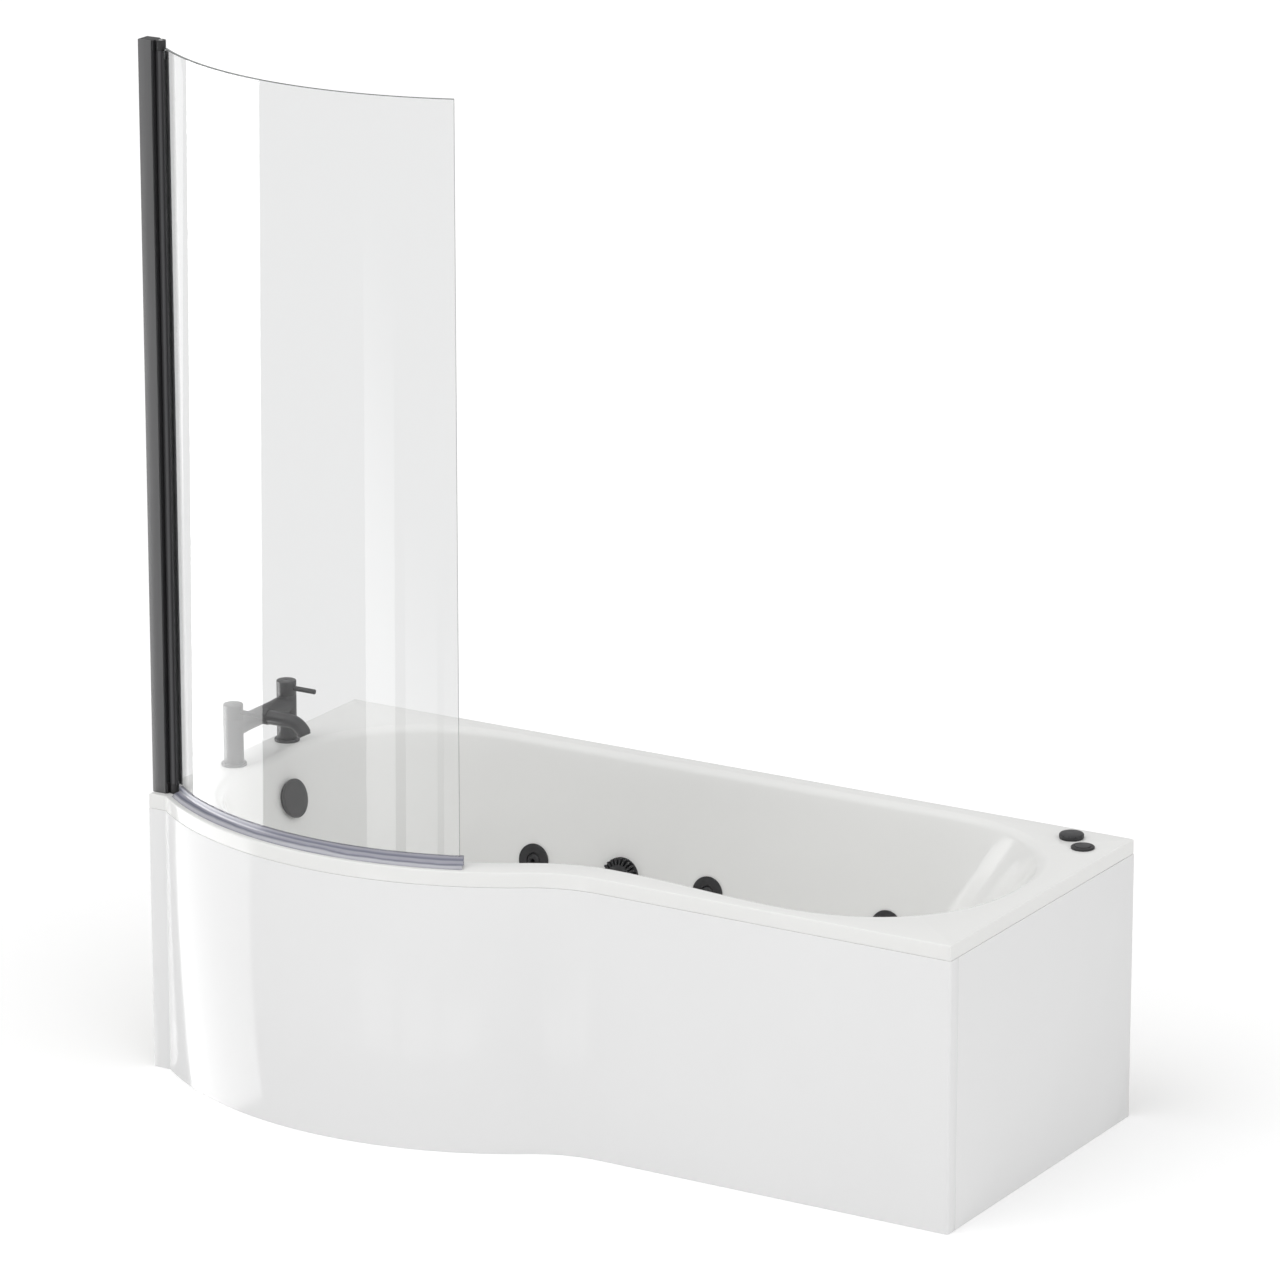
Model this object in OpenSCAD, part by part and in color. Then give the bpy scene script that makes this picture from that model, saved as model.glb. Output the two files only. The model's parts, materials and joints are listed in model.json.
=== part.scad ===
// P-shaped jetted shower bath with panels, a curved screen and a deck filler.
// Drawn with the tap end at x = 0, the straight front at y = 0 and the floor at z = 0,
// then moved so that the origin is under the middle of the whole bath.

/* [Bath] */
// Length of the shell
bath_len = 1700; // [1600:10:1800]
// Width of the narrow part
narrow_w = 700; // [690:5:760]
// How far the shower end bulges past the straight front
bulge_out = 150; // [130:5:170]
// Radius of the bulge in plan
bulge_r = 700; // [680:5:740]
// Flat return of the straight front between the tap end and the bulge
flat_in = 37; // [34:1:44]
// Radius of the sweep from the bulge into the straight front
sweep_r = 240; // [210:5:270]
// Height of the rim above the floor
rim_h = 540; // [530:5:560]
// Height of the lip that turns down round the rim
lip_h = 28; // [24:1:34]
// Thickness of the reinforced acrylic
shell_t = 5; // [4:0.5:6]

/* [Basin] */
// Height of the basin's floor above the floor
floor_z = 140; // [130:5:150]
// Rounding of the basin's edge
edge_r = 14; // [10:1:18]
// Rounding between the walls and the floor
cove_r = 62; // [50:2:70]
// Fall of the dish round the waste
dish_fall = 6; // [4:1:8]
// Waste from the tap end
waste_x = 300; // [290:5:310]
// How far the waste and overflow stand in front of the middle of the narrow part
waste_off = 16; // [10:2:20]
// Height of the jets and the suction in the basin, as a share of its depth
jet_share = 0.425; // [0.4:0.005:0.45]
// First back jet from the tap end
jet_x = 460; // [450:5:470]
// Last back jet from where the head end's round begins
jet_end = 100; // [90:5:120]
// Suction cover between the first two back jets, as a share of the way
suction_share = 0.5065; // [0.48:0.005:0.53]
// Overflow below the rim
overflow_drop = 87; // [80:1:95]

/* [Panels] */
// Thickness of the acrylic panels
panel_t = 4; // [3:0.5:5]
// How far the panels stand proud of the lip
panel_proud = 1.5; // [1:0.5:2]
// Return of the front panel round the right corner
panel_return = 28; // [22:1:34]

/* [Filler] */
// Distance between the two pillars
tap_width = 180; // [174:2:186]
// How far the filler stands in front of the middle of the narrow part
tap_off = 30; // [22:2:38]
// Middle of the pillars from the tap end
tap_x = 36; // [34:1:40]
// Radius of a pillar
pillar_r = 19; // [18:0.5:20]
// Height of the filler above the deck
tap_h = 120; // [115:1:126]
// Height of the turning cap
cap_h = 28; // [26:1:30]
// Reach of a lever from the pillar's middle
lever_reach = 65; // [60:1:72]
// Radius of the spout tube
spout_r = 13.5; // [12:0.5:14]

/* [Screen] */
// Height of the wall profile
screen_h = 1430; // [1400:10:1500]
// Thickness of the glass
glass_t = 6; // [5:0.5:8]
// Inset of the glass from the bulged rim
glass_in = 30; // [28:1:34]
// Free edge of the glass from the tap end
glass_end_x = 728; // [700:2:740]
// Depth of the wall profile
profile_d = 28; // [26:1:30]
// Width of the wall profile
profile_w = 30; // [28:1:32]
// Radius of the pivot post
post_r = 9.5; // [9:0.5:10]
// Radius of the hinge pins
pin_r = 4; // [3:0.5:5]

/* [Fits] */
// Running clearance on a radius
run_fit = 0.05; // [0.02:0.01:0.08]
// Clearance between pieces that only lie together
seat_gap = 0.2; // [0.1:0.05:0.25]
// Least clearance between pieces that move past each other
move_gap = 0.35; // [0.3:0.05:0.5]

/* [Hidden] */
$fn = 48;
// Facets of a full turn on the large plan curves
plan_fn = 180;
// Overrun of a cut
cut = 2;
// Easing of small moulded and turned edges
ease = 1;

// Plan of the rim: the bulge, the sweep and where they meet
bulge_y = bulge_r - bulge_out;
bulge_x = flat_in + sqrt(pow(bulge_r, 2) - pow(bulge_y, 2));
sweep_x = bulge_x + sqrt(pow(bulge_r + sweep_r, 2) - pow(bulge_y + sweep_r, 2));
meet_a = atan2(-sweep_r - bulge_y, sweep_x - bulge_x);
x_mid = (bath_len + panel_proud) / 2;
y_mid = (narrow_w - bulge_out - panel_proud) / 2;

// Basin plan as insets from the rim: front, side of the head end, back, tap end, head end,
// then where the head end's round begins. First at the top of the wall, then what the wall leans in.
front_in = 71;
side_in = 44;
back_in = 44;
tap_in = 76;
head_in = 64;
front_lean = 60;
side_lean = 55;
back_lean = 55;
tap_lean = 80;
lean_share = 0.1353;
head_lean = bath_len * lean_share;
// The head end's round, as a share of the length, and how far it grows down the wall,
// as a share of the straight
head_share = 0.18;
pull_share = 0.428;
head_x = bath_len - head_in - bath_len * head_share;
head_pull = (head_x - sweep_x) * pull_share;
edge_plan = [front_in, side_in, back_in, tap_in, head_in, head_x];
lean_plan = [front_lean, side_lean, back_lean, tap_lean, head_lean, -head_pull];
foot_plan = edge_plan + lean_plan;
all_in = [1, 1, 1, 1, 1, 0];
// Where the round of the back corner at the tap end begins
corner_x = 403;
corner_off = 10;
middle_y = narrow_w / 2;
corner_y = middle_y - corner_off;
// Radius of the front corner at the tap end, at the top of the wall
tap_corner_r = 280;
// Shares of the rounds: 2 is a circle, more is squarer
head_round = 2.2;
corner_round = 2.3;
wall_top = rim_h - edge_r;
foot_z = floor_z + cove_r;
wall_run = wall_top - foot_z;
waste_y = middle_y - waste_off;
tap_y = middle_y - tap_off;
jet_z = blend(floor_z, rim_h, jet_share);
jet_step = (head_x - jet_end - jet_x) / 2;
suction_x = jet_x + jet_step * suction_share;
overflow_z = rim_h - overflow_drop;
// Small round at the rim's outer edge
rim_round = 3;
dish_r = 100;
sump_r = 42;
sump_z = floor_z - dish_fall;

// Steps along each stretch of the plan, and down the section
head_m = 20;
back_m = 4;
corner_m = 8;
tap_m = 2;
fillet_m = 6;
bulge_m = 12;
sweep_m = 5;
front_m = 2;
cove_m = 5;
wall_m = 2;
edge_m = 3;

function blend(a, b, t) = a + (b - a) * t;
function bent(v, e) = sign(v) * pow(abs(v), e);
function clip(v) = max(-1, min(1, v));

// One closed line of the basin at the insets p
function basin_line(p) =
    let (
        hy = (p[1] + narrow_w - p[2]) / 2, ha = bath_len - p[4] - p[5], hb = (narrow_w - p[2] - p[1]) / 2,
        he = 2 / head_round, ce = 2 / corner_round, back_y = narrow_w - p[2],
        q = tap_corner_r - (p[3] - tap_in), fx = p[3] + q,
        fy = bulge_y - sqrt(pow(bulge_r - p[0] - q, 2) - pow(bulge_x - fx, 2)),
        fa = 360 + atan2(fy - bulge_y, fx - bulge_x), ba = fa - 360
    )
    concat(
        [for (i = [0:head_m]) let (a = -90 + 180 * i / head_m)
            [p[5] + ha * bent(cos(a), he), hy + hb * bent(sin(a), he)]],
        [for (i = [1:back_m - 1]) [blend(p[5], corner_x, i / back_m), back_y]],
        [for (i = [0:corner_m]) let (a = 90 + 90 * i / corner_m)
            [corner_x + (corner_x - p[3]) * bent(cos(a), ce),
                corner_y + (back_y - corner_y) * bent(sin(a), ce)]],
        [for (i = [1:tap_m - 1]) [p[3], blend(corner_y, fy, i / tap_m)]],
        [for (i = [0:fillet_m]) let (a = blend(180, fa, i / fillet_m)) [fx + q * cos(a), fy + q * sin(a)]],
        [for (i = [1:bulge_m]) let (a = blend(ba, meet_a, i / bulge_m))
            [bulge_x + (bulge_r - p[0]) * cos(a), bulge_y + (bulge_r - p[0]) * sin(a)]],
        [for (i = [1:sweep_m]) let (a = blend(meet_a + 180, 90, i / sweep_m))
            [sweep_x + (sweep_r + p[0]) * cos(a), -sweep_r + (sweep_r + p[0]) * sin(a)]],
        [for (i = [1:front_m - 1]) [blend(sweep_x, p[5], i / front_m), blend(p[0], p[1], i / front_m)]]
    );

// Angle and place of the kink where the flat return meets the bulge, d inside the rim
function kink_x(d) = bulge_x - sqrt(pow(bulge_r - d, 2) - pow(bulge_y - d, 2));
function kink_a(d) = atan2(d - bulge_y, kink_x(d) - bulge_x);
// Steps down the tap end to the corner, then one to the kink
corner_step = 3;

// The rim's own line, d inside its edge, with as many points as a basin line
function rim_line(d) =
    let (
        hx = edge_plan[5], hy = narrow_w / 2, ha = bath_len - d - hx, hb = hy - d, root2 = sqrt(2),
        q = tap_corner_r, fx = tap_in + q,
        fy = bulge_y - sqrt(pow(bulge_r - front_in - q, 2) - pow(bulge_x - fx, 2)),
        ba = atan2(fy - bulge_y, fx - bulge_x)
    )
    concat(
        [for (i = [0:head_m]) let (a = -90 + 180 * i / head_m)
            [hx + ha * clip(root2 * cos(a)), hy + hb * clip(root2 * sin(a))]],
        [for (i = [1:back_m - 1]) [blend(hx, corner_x, i / back_m), narrow_w - d]],
        [for (i = [0:corner_m]) let (a = 90 + 90 * i / corner_m)
            [corner_x + (corner_x - d) * clip(root2 * cos(a)),
                corner_y + (narrow_w - d - corner_y) * clip(root2 * sin(a))]],
        [for (i = [1:tap_m - 1]) [d, blend(corner_y, fy, i / tap_m)]],
        [for (i = [0:fillet_m])
            let (a = blend(kink_a(d), ba, (i - corner_step - 1) / (fillet_m - corner_step - 1)))
            i <= corner_step ? [d, blend(fy, d, i / corner_step)]
                : [bulge_x + (bulge_r - d) * cos(a), bulge_y + (bulge_r - d) * sin(a)]],
        [for (i = [1:bulge_m]) let (a = blend(ba, meet_a, i / bulge_m))
            [bulge_x + (bulge_r - d) * cos(a), bulge_y + (bulge_r - d) * sin(a)]],
        [for (i = [1:sweep_m]) let (a = blend(meet_a + 180, 90, i / sweep_m))
            [sweep_x + (sweep_r + d) * cos(a), -sweep_r + (sweep_r + d) * sin(a)]],
        [for (i = [1:front_m - 1]) [blend(sweep_x, hx, i / front_m), d]]
    );

// A circle round the waste with a point for each point of the floor's line
function waste_line(r) = [
    for (p = basin_line(foot_plan + cove_r / wall_run * lean_plan + cove_r * all_in))
        let (a = atan2(p[1] - waste_y, p[0] - waste_x)) [waste_x + r * cos(a), waste_y + r * sin(a)]
];
function at_height(line, z) = [for (p = line) [p[0], p[1], z]];

// Rounds of the section run on from the leaning walls: a cubic from a to c with its handles towards b
handle_share = 0.55;
function cubic(a, b, c, t) =
    let (p = blend(a, b, handle_share), q = blend(c, b, handle_share), s = 1 - t)
    s * s * s * a + 3 * s * s * t * p + 3 * s * t * t * q + t * t * t * c;
cove_lean = cove_r / wall_run;
edge_lean = edge_r / wall_run;
// One line of the cove and one of the rim's round, each on a skin that lies a thickness under the inside
function cove_line(t, thick) = at_height(
    basin_line(foot_plan + cubic(cove_lean, cove_lean, 0, t) * lean_plan
        + (cubic(cove_r, 0, 0, t) - cubic(0, thick, thick, t)) * all_in),
    cubic(floor_z - thick, floor_z - thick, foot_z, t)
);
function edge_line(t, thick) = at_height(
    basin_line(edge_plan - cubic(0, edge_lean, edge_lean, t) * lean_plan
        - (cubic(0, 0, edge_r, t) + cubic(thick, thick, 0, t)) * all_in),
    cubic(wall_top, rim_h - thick, rim_h - thick, t)
);
function wall_line(t, thick) =
    at_height(basin_line(blend(foot_plan, edge_plan, t) - thick * all_in), blend(foot_z, wall_top, t));

// The lines of the shell: up the inside from the waste, over the rim, and back underneath
shell_lines = concat(
    [at_height(waste_line(sump_r), sump_z), at_height(waste_line(dish_r), floor_z)],
    [for (k = [0:cove_m - 1]) cove_line(k / cove_m, 0)],
    [for (k = [0:wall_m]) wall_line(k / wall_m, 0)],
    [for (k = [1:edge_m]) edge_line(k / edge_m, 0)],
    [at_height(rim_line(rim_round), rim_h), at_height(rim_line(0), rim_h - rim_round)],
    [at_height(rim_line(0), rim_h - lip_h), at_height(rim_line(shell_t), rim_h - lip_h)],
    [at_height(rim_line(shell_t), rim_h - shell_t)],
    [for (k = [edge_m:-1:1]) edge_line(k / edge_m, shell_t)],
    [for (k = [wall_m:-1:0]) wall_line(k / wall_m, shell_t)],
    [for (k = [cove_m - 1:-1:0]) cove_line(k / cove_m, shell_t)],
    [at_height(waste_line(dish_r), floor_z - shell_t), at_height(waste_line(sump_r), sump_z - shell_t)]
);

// Walls of the basin: lean of each, inset at a height, and places on them with their own frame
front_tilt = atan(front_lean / wall_run);
back_tilt = atan(back_lean / wall_run);
tap_tilt = atan(tap_lean / wall_run);
function inset_at(k, z) = blend(edge_plan[k], foot_plan[k], (wall_top - z) / wall_run);
function back_place(x, z) = [[x, narrow_w - inset_at(2, z), z], -90, back_tilt];
function tap_place(y, z) = [[inset_at(3, z), y, z], 0, tap_tilt];
function bulge_place(a, z) =
    [[bulge_x + (bulge_r - inset_at(0, z)) * cos(a), bulge_y + (bulge_r - inset_at(0, z)) * sin(a), z],
        a + 180, front_tilt];
function front_place(x, z) =
    let (run = inset_at(5, z) - sweep_x, rise = inset_at(1, z) - inset_at(0, z))
    [[x, inset_at(0, z) + rise * (x - sweep_x) / run, z], 90 + atan2(rise, run), front_tilt];
// Direction into the basin, and down the wall, of a place
function inward(p) = [cos(p[1]) * cos(p[2]), sin(p[1]) * cos(p[2]), sin(p[2])];
function downward(p) = [cos(p[1]) * sin(p[2]), sin(p[1]) * sin(p[2]), -cos(p[2])];

// Jets: three along the back, two in the bulge and one in the straight front
first_bulge_angle = -98;
second_bulge_angle = -68;
// The front jet, as a share of the way from the sweep to the head end's round
front_jet_share = 0.572;
front_jet_x = blend(sweep_x, head_x, front_jet_share);
jet_places = concat(
    [for (i = [0:2]) back_place(jet_x + i * jet_step, jet_z)],
    [bulge_place(first_bulge_angle, jet_z), bulge_place(second_bulge_angle, jet_z),
        front_place(front_jet_x, jet_z)]
);
jet_flange_r = 32.5;
jet_flange_t = 4;
jet_barrel_r = 22;
jet_ball_r = 15.5;
jet_ball_z = -6;
jet_mouth_r = 14;
jet_stem_r = 9;
ball_share = 0.72;
throat_back = 11;
throat_l = 14;
stem_back = 28;
stem_l = 20;
jet_outlet_r = 5;
// Angle of the outlet to the nozzle's axis
outlet_angle = 22;
bezel_lip = 1.5;
cavity_back = 18;
cavity_l = 30;
locknut_wall = 8;
jet_depth = 58;
tee_depth = 40;
tee_r = 20;
tee_half = 30;
socket_depth = 12;
water_r = 16;
air_r = 7;
air_rise = 46;
// Depth of the flat that each wall fitting beds into
pad_depth = 0.4;
pad_over = 12;
locknut_r = 33;
locknut_t = 8;
suction_nut_r = 36;
suction_flange_r = 38;
suction_barrel_r = 27;
suction_depth = 56;
elbow_depth = 40;
elbow_rise = 45;
elbow_wall = 4;
suction_bend = 60;
cover_t = 15;
cover_edge_t = 3;
cover_slope = 5;
cover_slope_t = 10;
cover_crown = 12;
slot_w = 3;
slot_l = 20;
slot_floor = 4;
overflow_barrel_r = 24;

// Filler
tap_ys = [tap_y - tap_width / 2, tap_y + tap_width / 2];
flange_r = 24.5;
flange_t = 5;
tail_r = 13;
tail_drop = 58;
tail_wall = 3;
tail_thread = 32;
tail_relief = 0.5;
tap_nut_r = 22;
tap_nut_h = 12;
arm_h = 73;
arm_r = 17;
flare_len = 30;
flare_in = 0.6;
boss_wall = 1.5;
boss_h = 3;
spout_seat = 2;
cap_z = rim_h + tap_h - cap_h;
stem_r = 8;
stem_h = 18;
valve_r = 12;
valve_drop = 24;
lever_r = 4.8;
lever_drop = 14;
spout_run = 66;
spout_bend = 38;
spout_angle = 62;
aerator_r = 12;
aerator_l = 6;
aerator_bore = 9;
aerator_out = 4;
aerator_floor = 3;
notch_w = 3;
notch_h = 2.5;
dot_r = 2;
dot_depth = 0.6;

// Deck controls
knob_in_x = 100;
knob_in_y = 54;
air_knob_x = bath_len - knob_in_x;
air_knob_y = narrow_w - knob_in_y;
air_knob_r = 23;
air_knob_h = 8;
air_barrel_r = 17;
air_barrel_l = 70;
start_in_x = 55;
start_in_y = 96;
start_x = bath_len - start_in_x;
start_y = narrow_w - start_in_y;
start_r = 22;
start_h = 4.5;
start_button_r = 15;
start_rise = 2;
start_travel = 2;
start_barrel_r = 14;
start_barrel_l = 50;
control_flange = 2;
control_stem_r = 5;
pneumatic_r = 3;
control_nut_h = 8;
air_nut_r = 23;
start_nut_r = 20;
knob_shadow = 0.5;
grip_r = 2.2;
grip_out = 1.2;
knob_bevel = 3;
knob_crown = 6;
start_edge = 1.5;
start_proud = 0.8;
start_stem_up = 4;

// Screen
hinge_x = 40;
hinge_y = profile_w / 2 + 13;
glass_r = bulge_r - glass_in;
post_a = atan2(hinge_y - bulge_y, hinge_x - bulge_x);
glass_end_a = -acos((glass_end_x - bulge_x) / glass_r);
block_h = 19;
screen_top = rim_h + screen_h;
glass_z = rim_h + 8;
glass_top = screen_top - 14;
jaw_gap = 2;
jaw_t = 2.5;
jaw_reach = 16;
glass_start = 9;
jaw_start = 4;
gasket_end = 20;
seal_wall = 2;
seal_h = 20;
seal_over = 7;
seal_start = 6;
pin_l = 34;
bush_l = 22;
bush_r = 7.5;
profile_t = 2;
profile_y0 = hinge_y - profile_w / 2;
post_z0 = rim_h + block_h + move_gap;
post_z1 = screen_top - block_h - move_gap;
function along(mm) = mm / glass_r * 180 / PI;

// Underneath
board_t = 15;
board_gap = 20;
board_x0 = waste_x + dish_r + board_gap;
board_end = 410;
board_half = 135;
board_x1 = bath_len - board_end;
board_y0 = middle_y - board_half;
board_y1 = middle_y + board_half;
board_top = floor_z - shell_t;
channel_h = 25;
channel_w = 40;
channel_t = 2;
channel_z = board_top - board_t - channel_h;
leg_in = 480;
leg_front = 60;
leg_bulge = 90;
leg_back = 80;
channel_xs = [leg_in, bath_len / 2, bath_len - leg_in];
channel_y0s = [leg_bulge - bulge_out, leg_front, leg_front];
channel_y1 = narrow_w - leg_back;
rod_r = 6;
rod_in = 22;
rod_top = channel_z + channel_h + 6;
pad_r = 25;
pad_h = 10;
pad_boss_r = 11;
pad_boss_h = 18;
nut_r = 10.5;
nut_t = 8;

// Panels
panel_top = rim_h - lip_h - 0.5;
corner_r = 6;
rail_w = 18;
rail_h = 20;
rail_gap = seat_gap;
rail_block = 150;
// Blocks behind the bulge, as shares of its turn
rail_shares = [0.12, 0.37, 0.62, 0.87];

// Pump and pipes
pump_in = 100;
pump_y = narrow_w - pump_in;
pump_z = 112;
volute_w = 64;
volute_r = 72;
// The riser passes the slope of the head end by this much, and the motor stops short of the end panel
riser_gap = 3;
motor_gap = 20;
tee_wall = 4;
riser_top = jet_z - tee_depth * sin(back_tilt) + water_r + tee_wall;
riser_x = bath_len - inset_at(4, riser_top) + shell_t + water_r + tee_wall + riser_gap;
volute_x0 = riser_x - volute_w / 2;
motor_x0 = volute_x0 + volute_w;
motor_l = bath_len - panel_t - motor_gap - motor_x0;
motor_r = 55;
pump_base_t = 16;
suction_r = 25;
run_in = 36;
run_y = narrow_w - run_in;
union_l = 24;
union_wall = 5;
union_grip = 4;
swan_run = 72;
neck_l = 12;
neck_wall = 3;
shoulder_r = 14;
shoulder_l = 12;
outlet_l = 24;
outlet_wall = 6;
base_over = 18;
base_w = 160;
volute_foot_t = 28;
volute_foot_w = 80;
volute_foot_share = 0.7;
fin_t = 2.4;
fin_h = 6;
fin_x = 8;
cowl_l = 30;
vent_r = 4;
vent_rings = [18, 32];
motor_foot_x = 14;
motor_foot_l = 70;
motor_foot_w = 68;
motor_foot_share = 0.75;
box_x = 20;
box_end = 24;
box_drop = 16;
box_h = 46;

module placed() {
    translate([-x_mid, -y_mid, 0]) children();
}

module at_place(p) {
    translate(p[0]) rotate([0, 0, p[1]]) rotate([0, 90 - p[2], 0]) children();
}

// A round bar from p to q
module bar(p, q, r) {
    d = q - p;
    flat = norm([d[0], d[1]]);
    translate(p) rotate([0, atan2(flat, d[2]), atan2(d[1], d[0])]) cylinder(r = r, h = norm(d));
}

// A ring or tube standing on z
module tube(r_out, r_in, h) {
    difference() {
        cylinder(r = r_out, h = h);
        translate([0, 0, -cut]) cylinder(r = r_in, h = h + 2 * cut);
    }
}

// A profile swept about a centre from angle a to angle b
module sector(centre, a, b) {
    translate(centre) rotate([0, 0, a]) rotate_extrude(angle = b - a, $fn = plan_fn) children();
}

// A tube swept along a list of points, each ring square to the path
function unit(v) = v / norm(v);
function heading(path, i) = unit(path[min(i + 1, len(path) - 1)] - path[max(i - 1, 0)]);
function square_to(v, t) = unit(v - (v * t) * t);
module swept(path, r, sides) {
    last = len(path) - 1;
    t0 = heading(path, 0);
    n0 = square_to(abs(t0[2]) > 0.9 ? [1, 0, 0] : [0, 0, 1], t0);
    normals = [for (i = 0, n = n0; i <= last; i = i + 1, n = square_to(n, heading(path, min(i, last)))) n];
    points = [for (i = [0:last]) for (k = [0:sides - 1])
        let (a = 360 * k / sides, t = heading(path, i))
            path[i] + r * (cos(a) * normals[i] + sin(a) * cross(t, normals[i]))];
    walls = [for (i = [0:last - 1]) for (k = [0:sides - 1]) let (m = (k + 1) % sides) for (half = [0, 1])
        half == 0 ? [i * sides + k, (i + 1) * sides + k, (i + 1) * sides + m]
            : [i * sides + k, (i + 1) * sides + m, i * sides + m]];
    ends = [[for (k = [0:sides - 1]) k], [for (k = [sides - 1:-1:0]) last * sides + k]];
    polyhedron(points = points, faces = concat(walls, ends), convexity = 6);
}

// Points of an arc in plan, and a path whose inner corners are rounded over the length d
function arc_points(centre, r, z, a, b, steps) =
    [for (i = [0:steps]) let (t = blend(a, b, i / steps))
        [centre[0] + r * cos(t), centre[1] + r * sin(t), z]];
function rounded(p, d, steps) = concat(
    [p[0]],
    [for (i = [1:len(p) - 2])
        let (
            a = p[i] + unit(p[i - 1] - p[i]) * min(d, norm(p[i - 1] - p[i]) * half_share),
            b = p[i] + unit(p[i + 1] - p[i]) * min(d, norm(p[i + 1] - p[i]) * half_share)
        )
        for (k = [0:steps]) let (t = k / steps) a * (1 - t) * (1 - t) + p[i] * 2 * t * (1 - t) + b * t * t],
    [p[len(p) - 1]]
);
// Share of a run that a rounded corner may take
half_share = 0.48;

// Bath shell

module shell_skin() {
    n = len(shell_lines[0]);
    m = len(shell_lines);
    points = [for (line = shell_lines) for (p = line) p];
    sides = [for (i = [0:m - 2]) for (j = [0:n - 1]) let (k = (j + 1) % n) for (t = [0, 1])
        t == 0 ? [i * n + j, i * n + k, (i + 1) * n + k] : [i * n + j, (i + 1) * n + k, (i + 1) * n + j]];
    polyhedron(
        points = points,
        faces = concat(sides, [[for (j = [n - 1:-1:0]) j]], [[for (j = [0:n - 1]) (m - 1) * n + j]]),
        convexity = 6
    );
}

// Hole for a wall fitting, with a flat on both faces for its flange and its nut
module wall_hole(p, hole_r, pad_r, nut_r) {
    at_place(p) {
        translate([0, 0, -shell_t - pad_over]) cylinder(r = hole_r, h = shell_t + 2 * pad_over);
        translate([0, 0, -pad_depth]) cylinder(r = pad_r, h = pad_over);
        translate([0, 0, -shell_t - pad_over]) cylinder(r = nut_r, h = pad_over);
    }
}

module deck_hole(x, y, r) {
    translate([x, y, rim_h - shell_t - cut]) cylinder(r = r, h = shell_t + 2 * cut);
}

module bath_shell() {
    color("whitesmoke") placed() difference() {
        shell_skin();
        for (p = jet_places) wall_hole(p, jet_barrel_r + seat_gap, jet_flange_r + seat_gap, locknut_r);
        wall_hole(
            back_place(suction_x, jet_z), suction_barrel_r + seat_gap, suction_flange_r + seat_gap,
                suction_nut_r + seat_gap
        );
        wall_hole(
            tap_place(waste_y, overflow_z), overflow_barrel_r + seat_gap, overflow_face_r + seat_gap,
                locknut_r + seat_gap
        );
        for (y = tap_ys) deck_hole(tap_x, y, tail_r + ease);
        deck_hole(air_knob_x, air_knob_y, air_barrel_r + seat_gap);
        deck_hole(start_x, start_y, start_barrel_r + seat_gap);
        translate([waste_x, waste_y, sump_z - shell_t - cut])
            cylinder(r = waste_tube_r + seat_gap, h = shell_t + 2 * cut);
    }
}

// Timber and legs

module base_board() {
    color("burlywood") placed() translate([board_x0, board_y0, board_top - board_t])
        cube([board_x1 - board_x0, board_y1 - board_y0, board_t]);
}

batten_w = 22;
batten_h = 18;
batten_end = 70;
batten_corner = 140;
module rim_battens() {
    z = rim_h - shell_t - batten_h - seat_gap;
    inner = shell_t + seat_gap;
    color("burlywood") placed() {
        translate([batten_end, narrow_w - inner - batten_w, z])
            cube([bath_len - 2 * batten_end - start_r, batten_w, batten_h]);
        translate([bath_len - inner - batten_w, batten_end, z])
            cube([batten_w, narrow_w - batten_corner - batten_end, batten_h]);
    }
}

module leg_channels() {
    color("lightgray") placed() for (i = [0:len(channel_xs) - 1])
        translate([channel_xs[i] - channel_w / 2, channel_y0s[i], channel_z]) difference() {
            cube([channel_w, channel_y1 - channel_y0s[i], channel_h]);
            translate([channel_t, -cut, -cut])
                cube([channel_w - 2 * channel_t, channel_y1 - channel_y0s[i] + 2 * cut,
                    channel_h - channel_t + cut]);
            for (y = rod_ys(i))
                translate([channel_w / 2, y - channel_y0s[i], 0])
                    cylinder(r = rod_r + seat_gap, h = channel_h + cut);
        }
}
function rod_ys(i) = [channel_y0s[i] + rod_in, channel_y1 - rod_in];

module each_rod() {
    for (i = [0:len(channel_xs) - 1], y = rod_ys(i)) translate([channel_xs[i], y, 0]) children();
}

module leg_rods() {
    color("silver") placed() each_rod() translate([0, 0, pad_h]) cylinder(r = rod_r, h = rod_top - pad_h);
}

module leg_nuts() {
    web_z = channel_z + channel_h - channel_t;
    color("silver") placed() each_rod() for (z = [web_z - nut_t, web_z + channel_t])
        translate([0, 0, z]) difference() {
            cylinder(r = nut_r, h = nut_t, $fn = 6);
            translate([0, 0, -cut]) cylinder(r = rod_r + seat_gap, h = nut_t + 2 * cut);
        }
}

module foot_pads() {
    color("dimgray") placed() each_rod() difference() {
        rotate_extrude() polygon([
            [0, 0], [pad_r, 0], [pad_r, pad_h / 2], [pad_boss_r + 2 * ease, pad_h],
            [pad_boss_r, pad_h], [pad_boss_r, pad_boss_h], [0, pad_boss_h]
        ]);
        translate([0, 0, pad_h]) cylinder(r = rod_r + seat_gap, h = pad_boss_h);
    }
}

// Panels

// The line of the front d outside the rim, from the tap end to x_end
function front_line(d, x_end) = concat(
    [[0, -d], [kink_x(-d), -d]],
    [for (i = [1:band_m]) let (a = blend(kink_a(-d), meet_a, i / band_m))
        [bulge_x + (bulge_r + d) * cos(a), bulge_y + (bulge_r + d) * sin(a)]],
    [for (i = [1:turn_m]) let (a = blend(meet_a + 180, 90, i / turn_m))
        [sweep_x + (sweep_r - d) * cos(a), -sweep_r + (sweep_r - d) * sin(a)]],
    [[x_end, -d]]
);
band_m = 36;
turn_m = 10;

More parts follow.
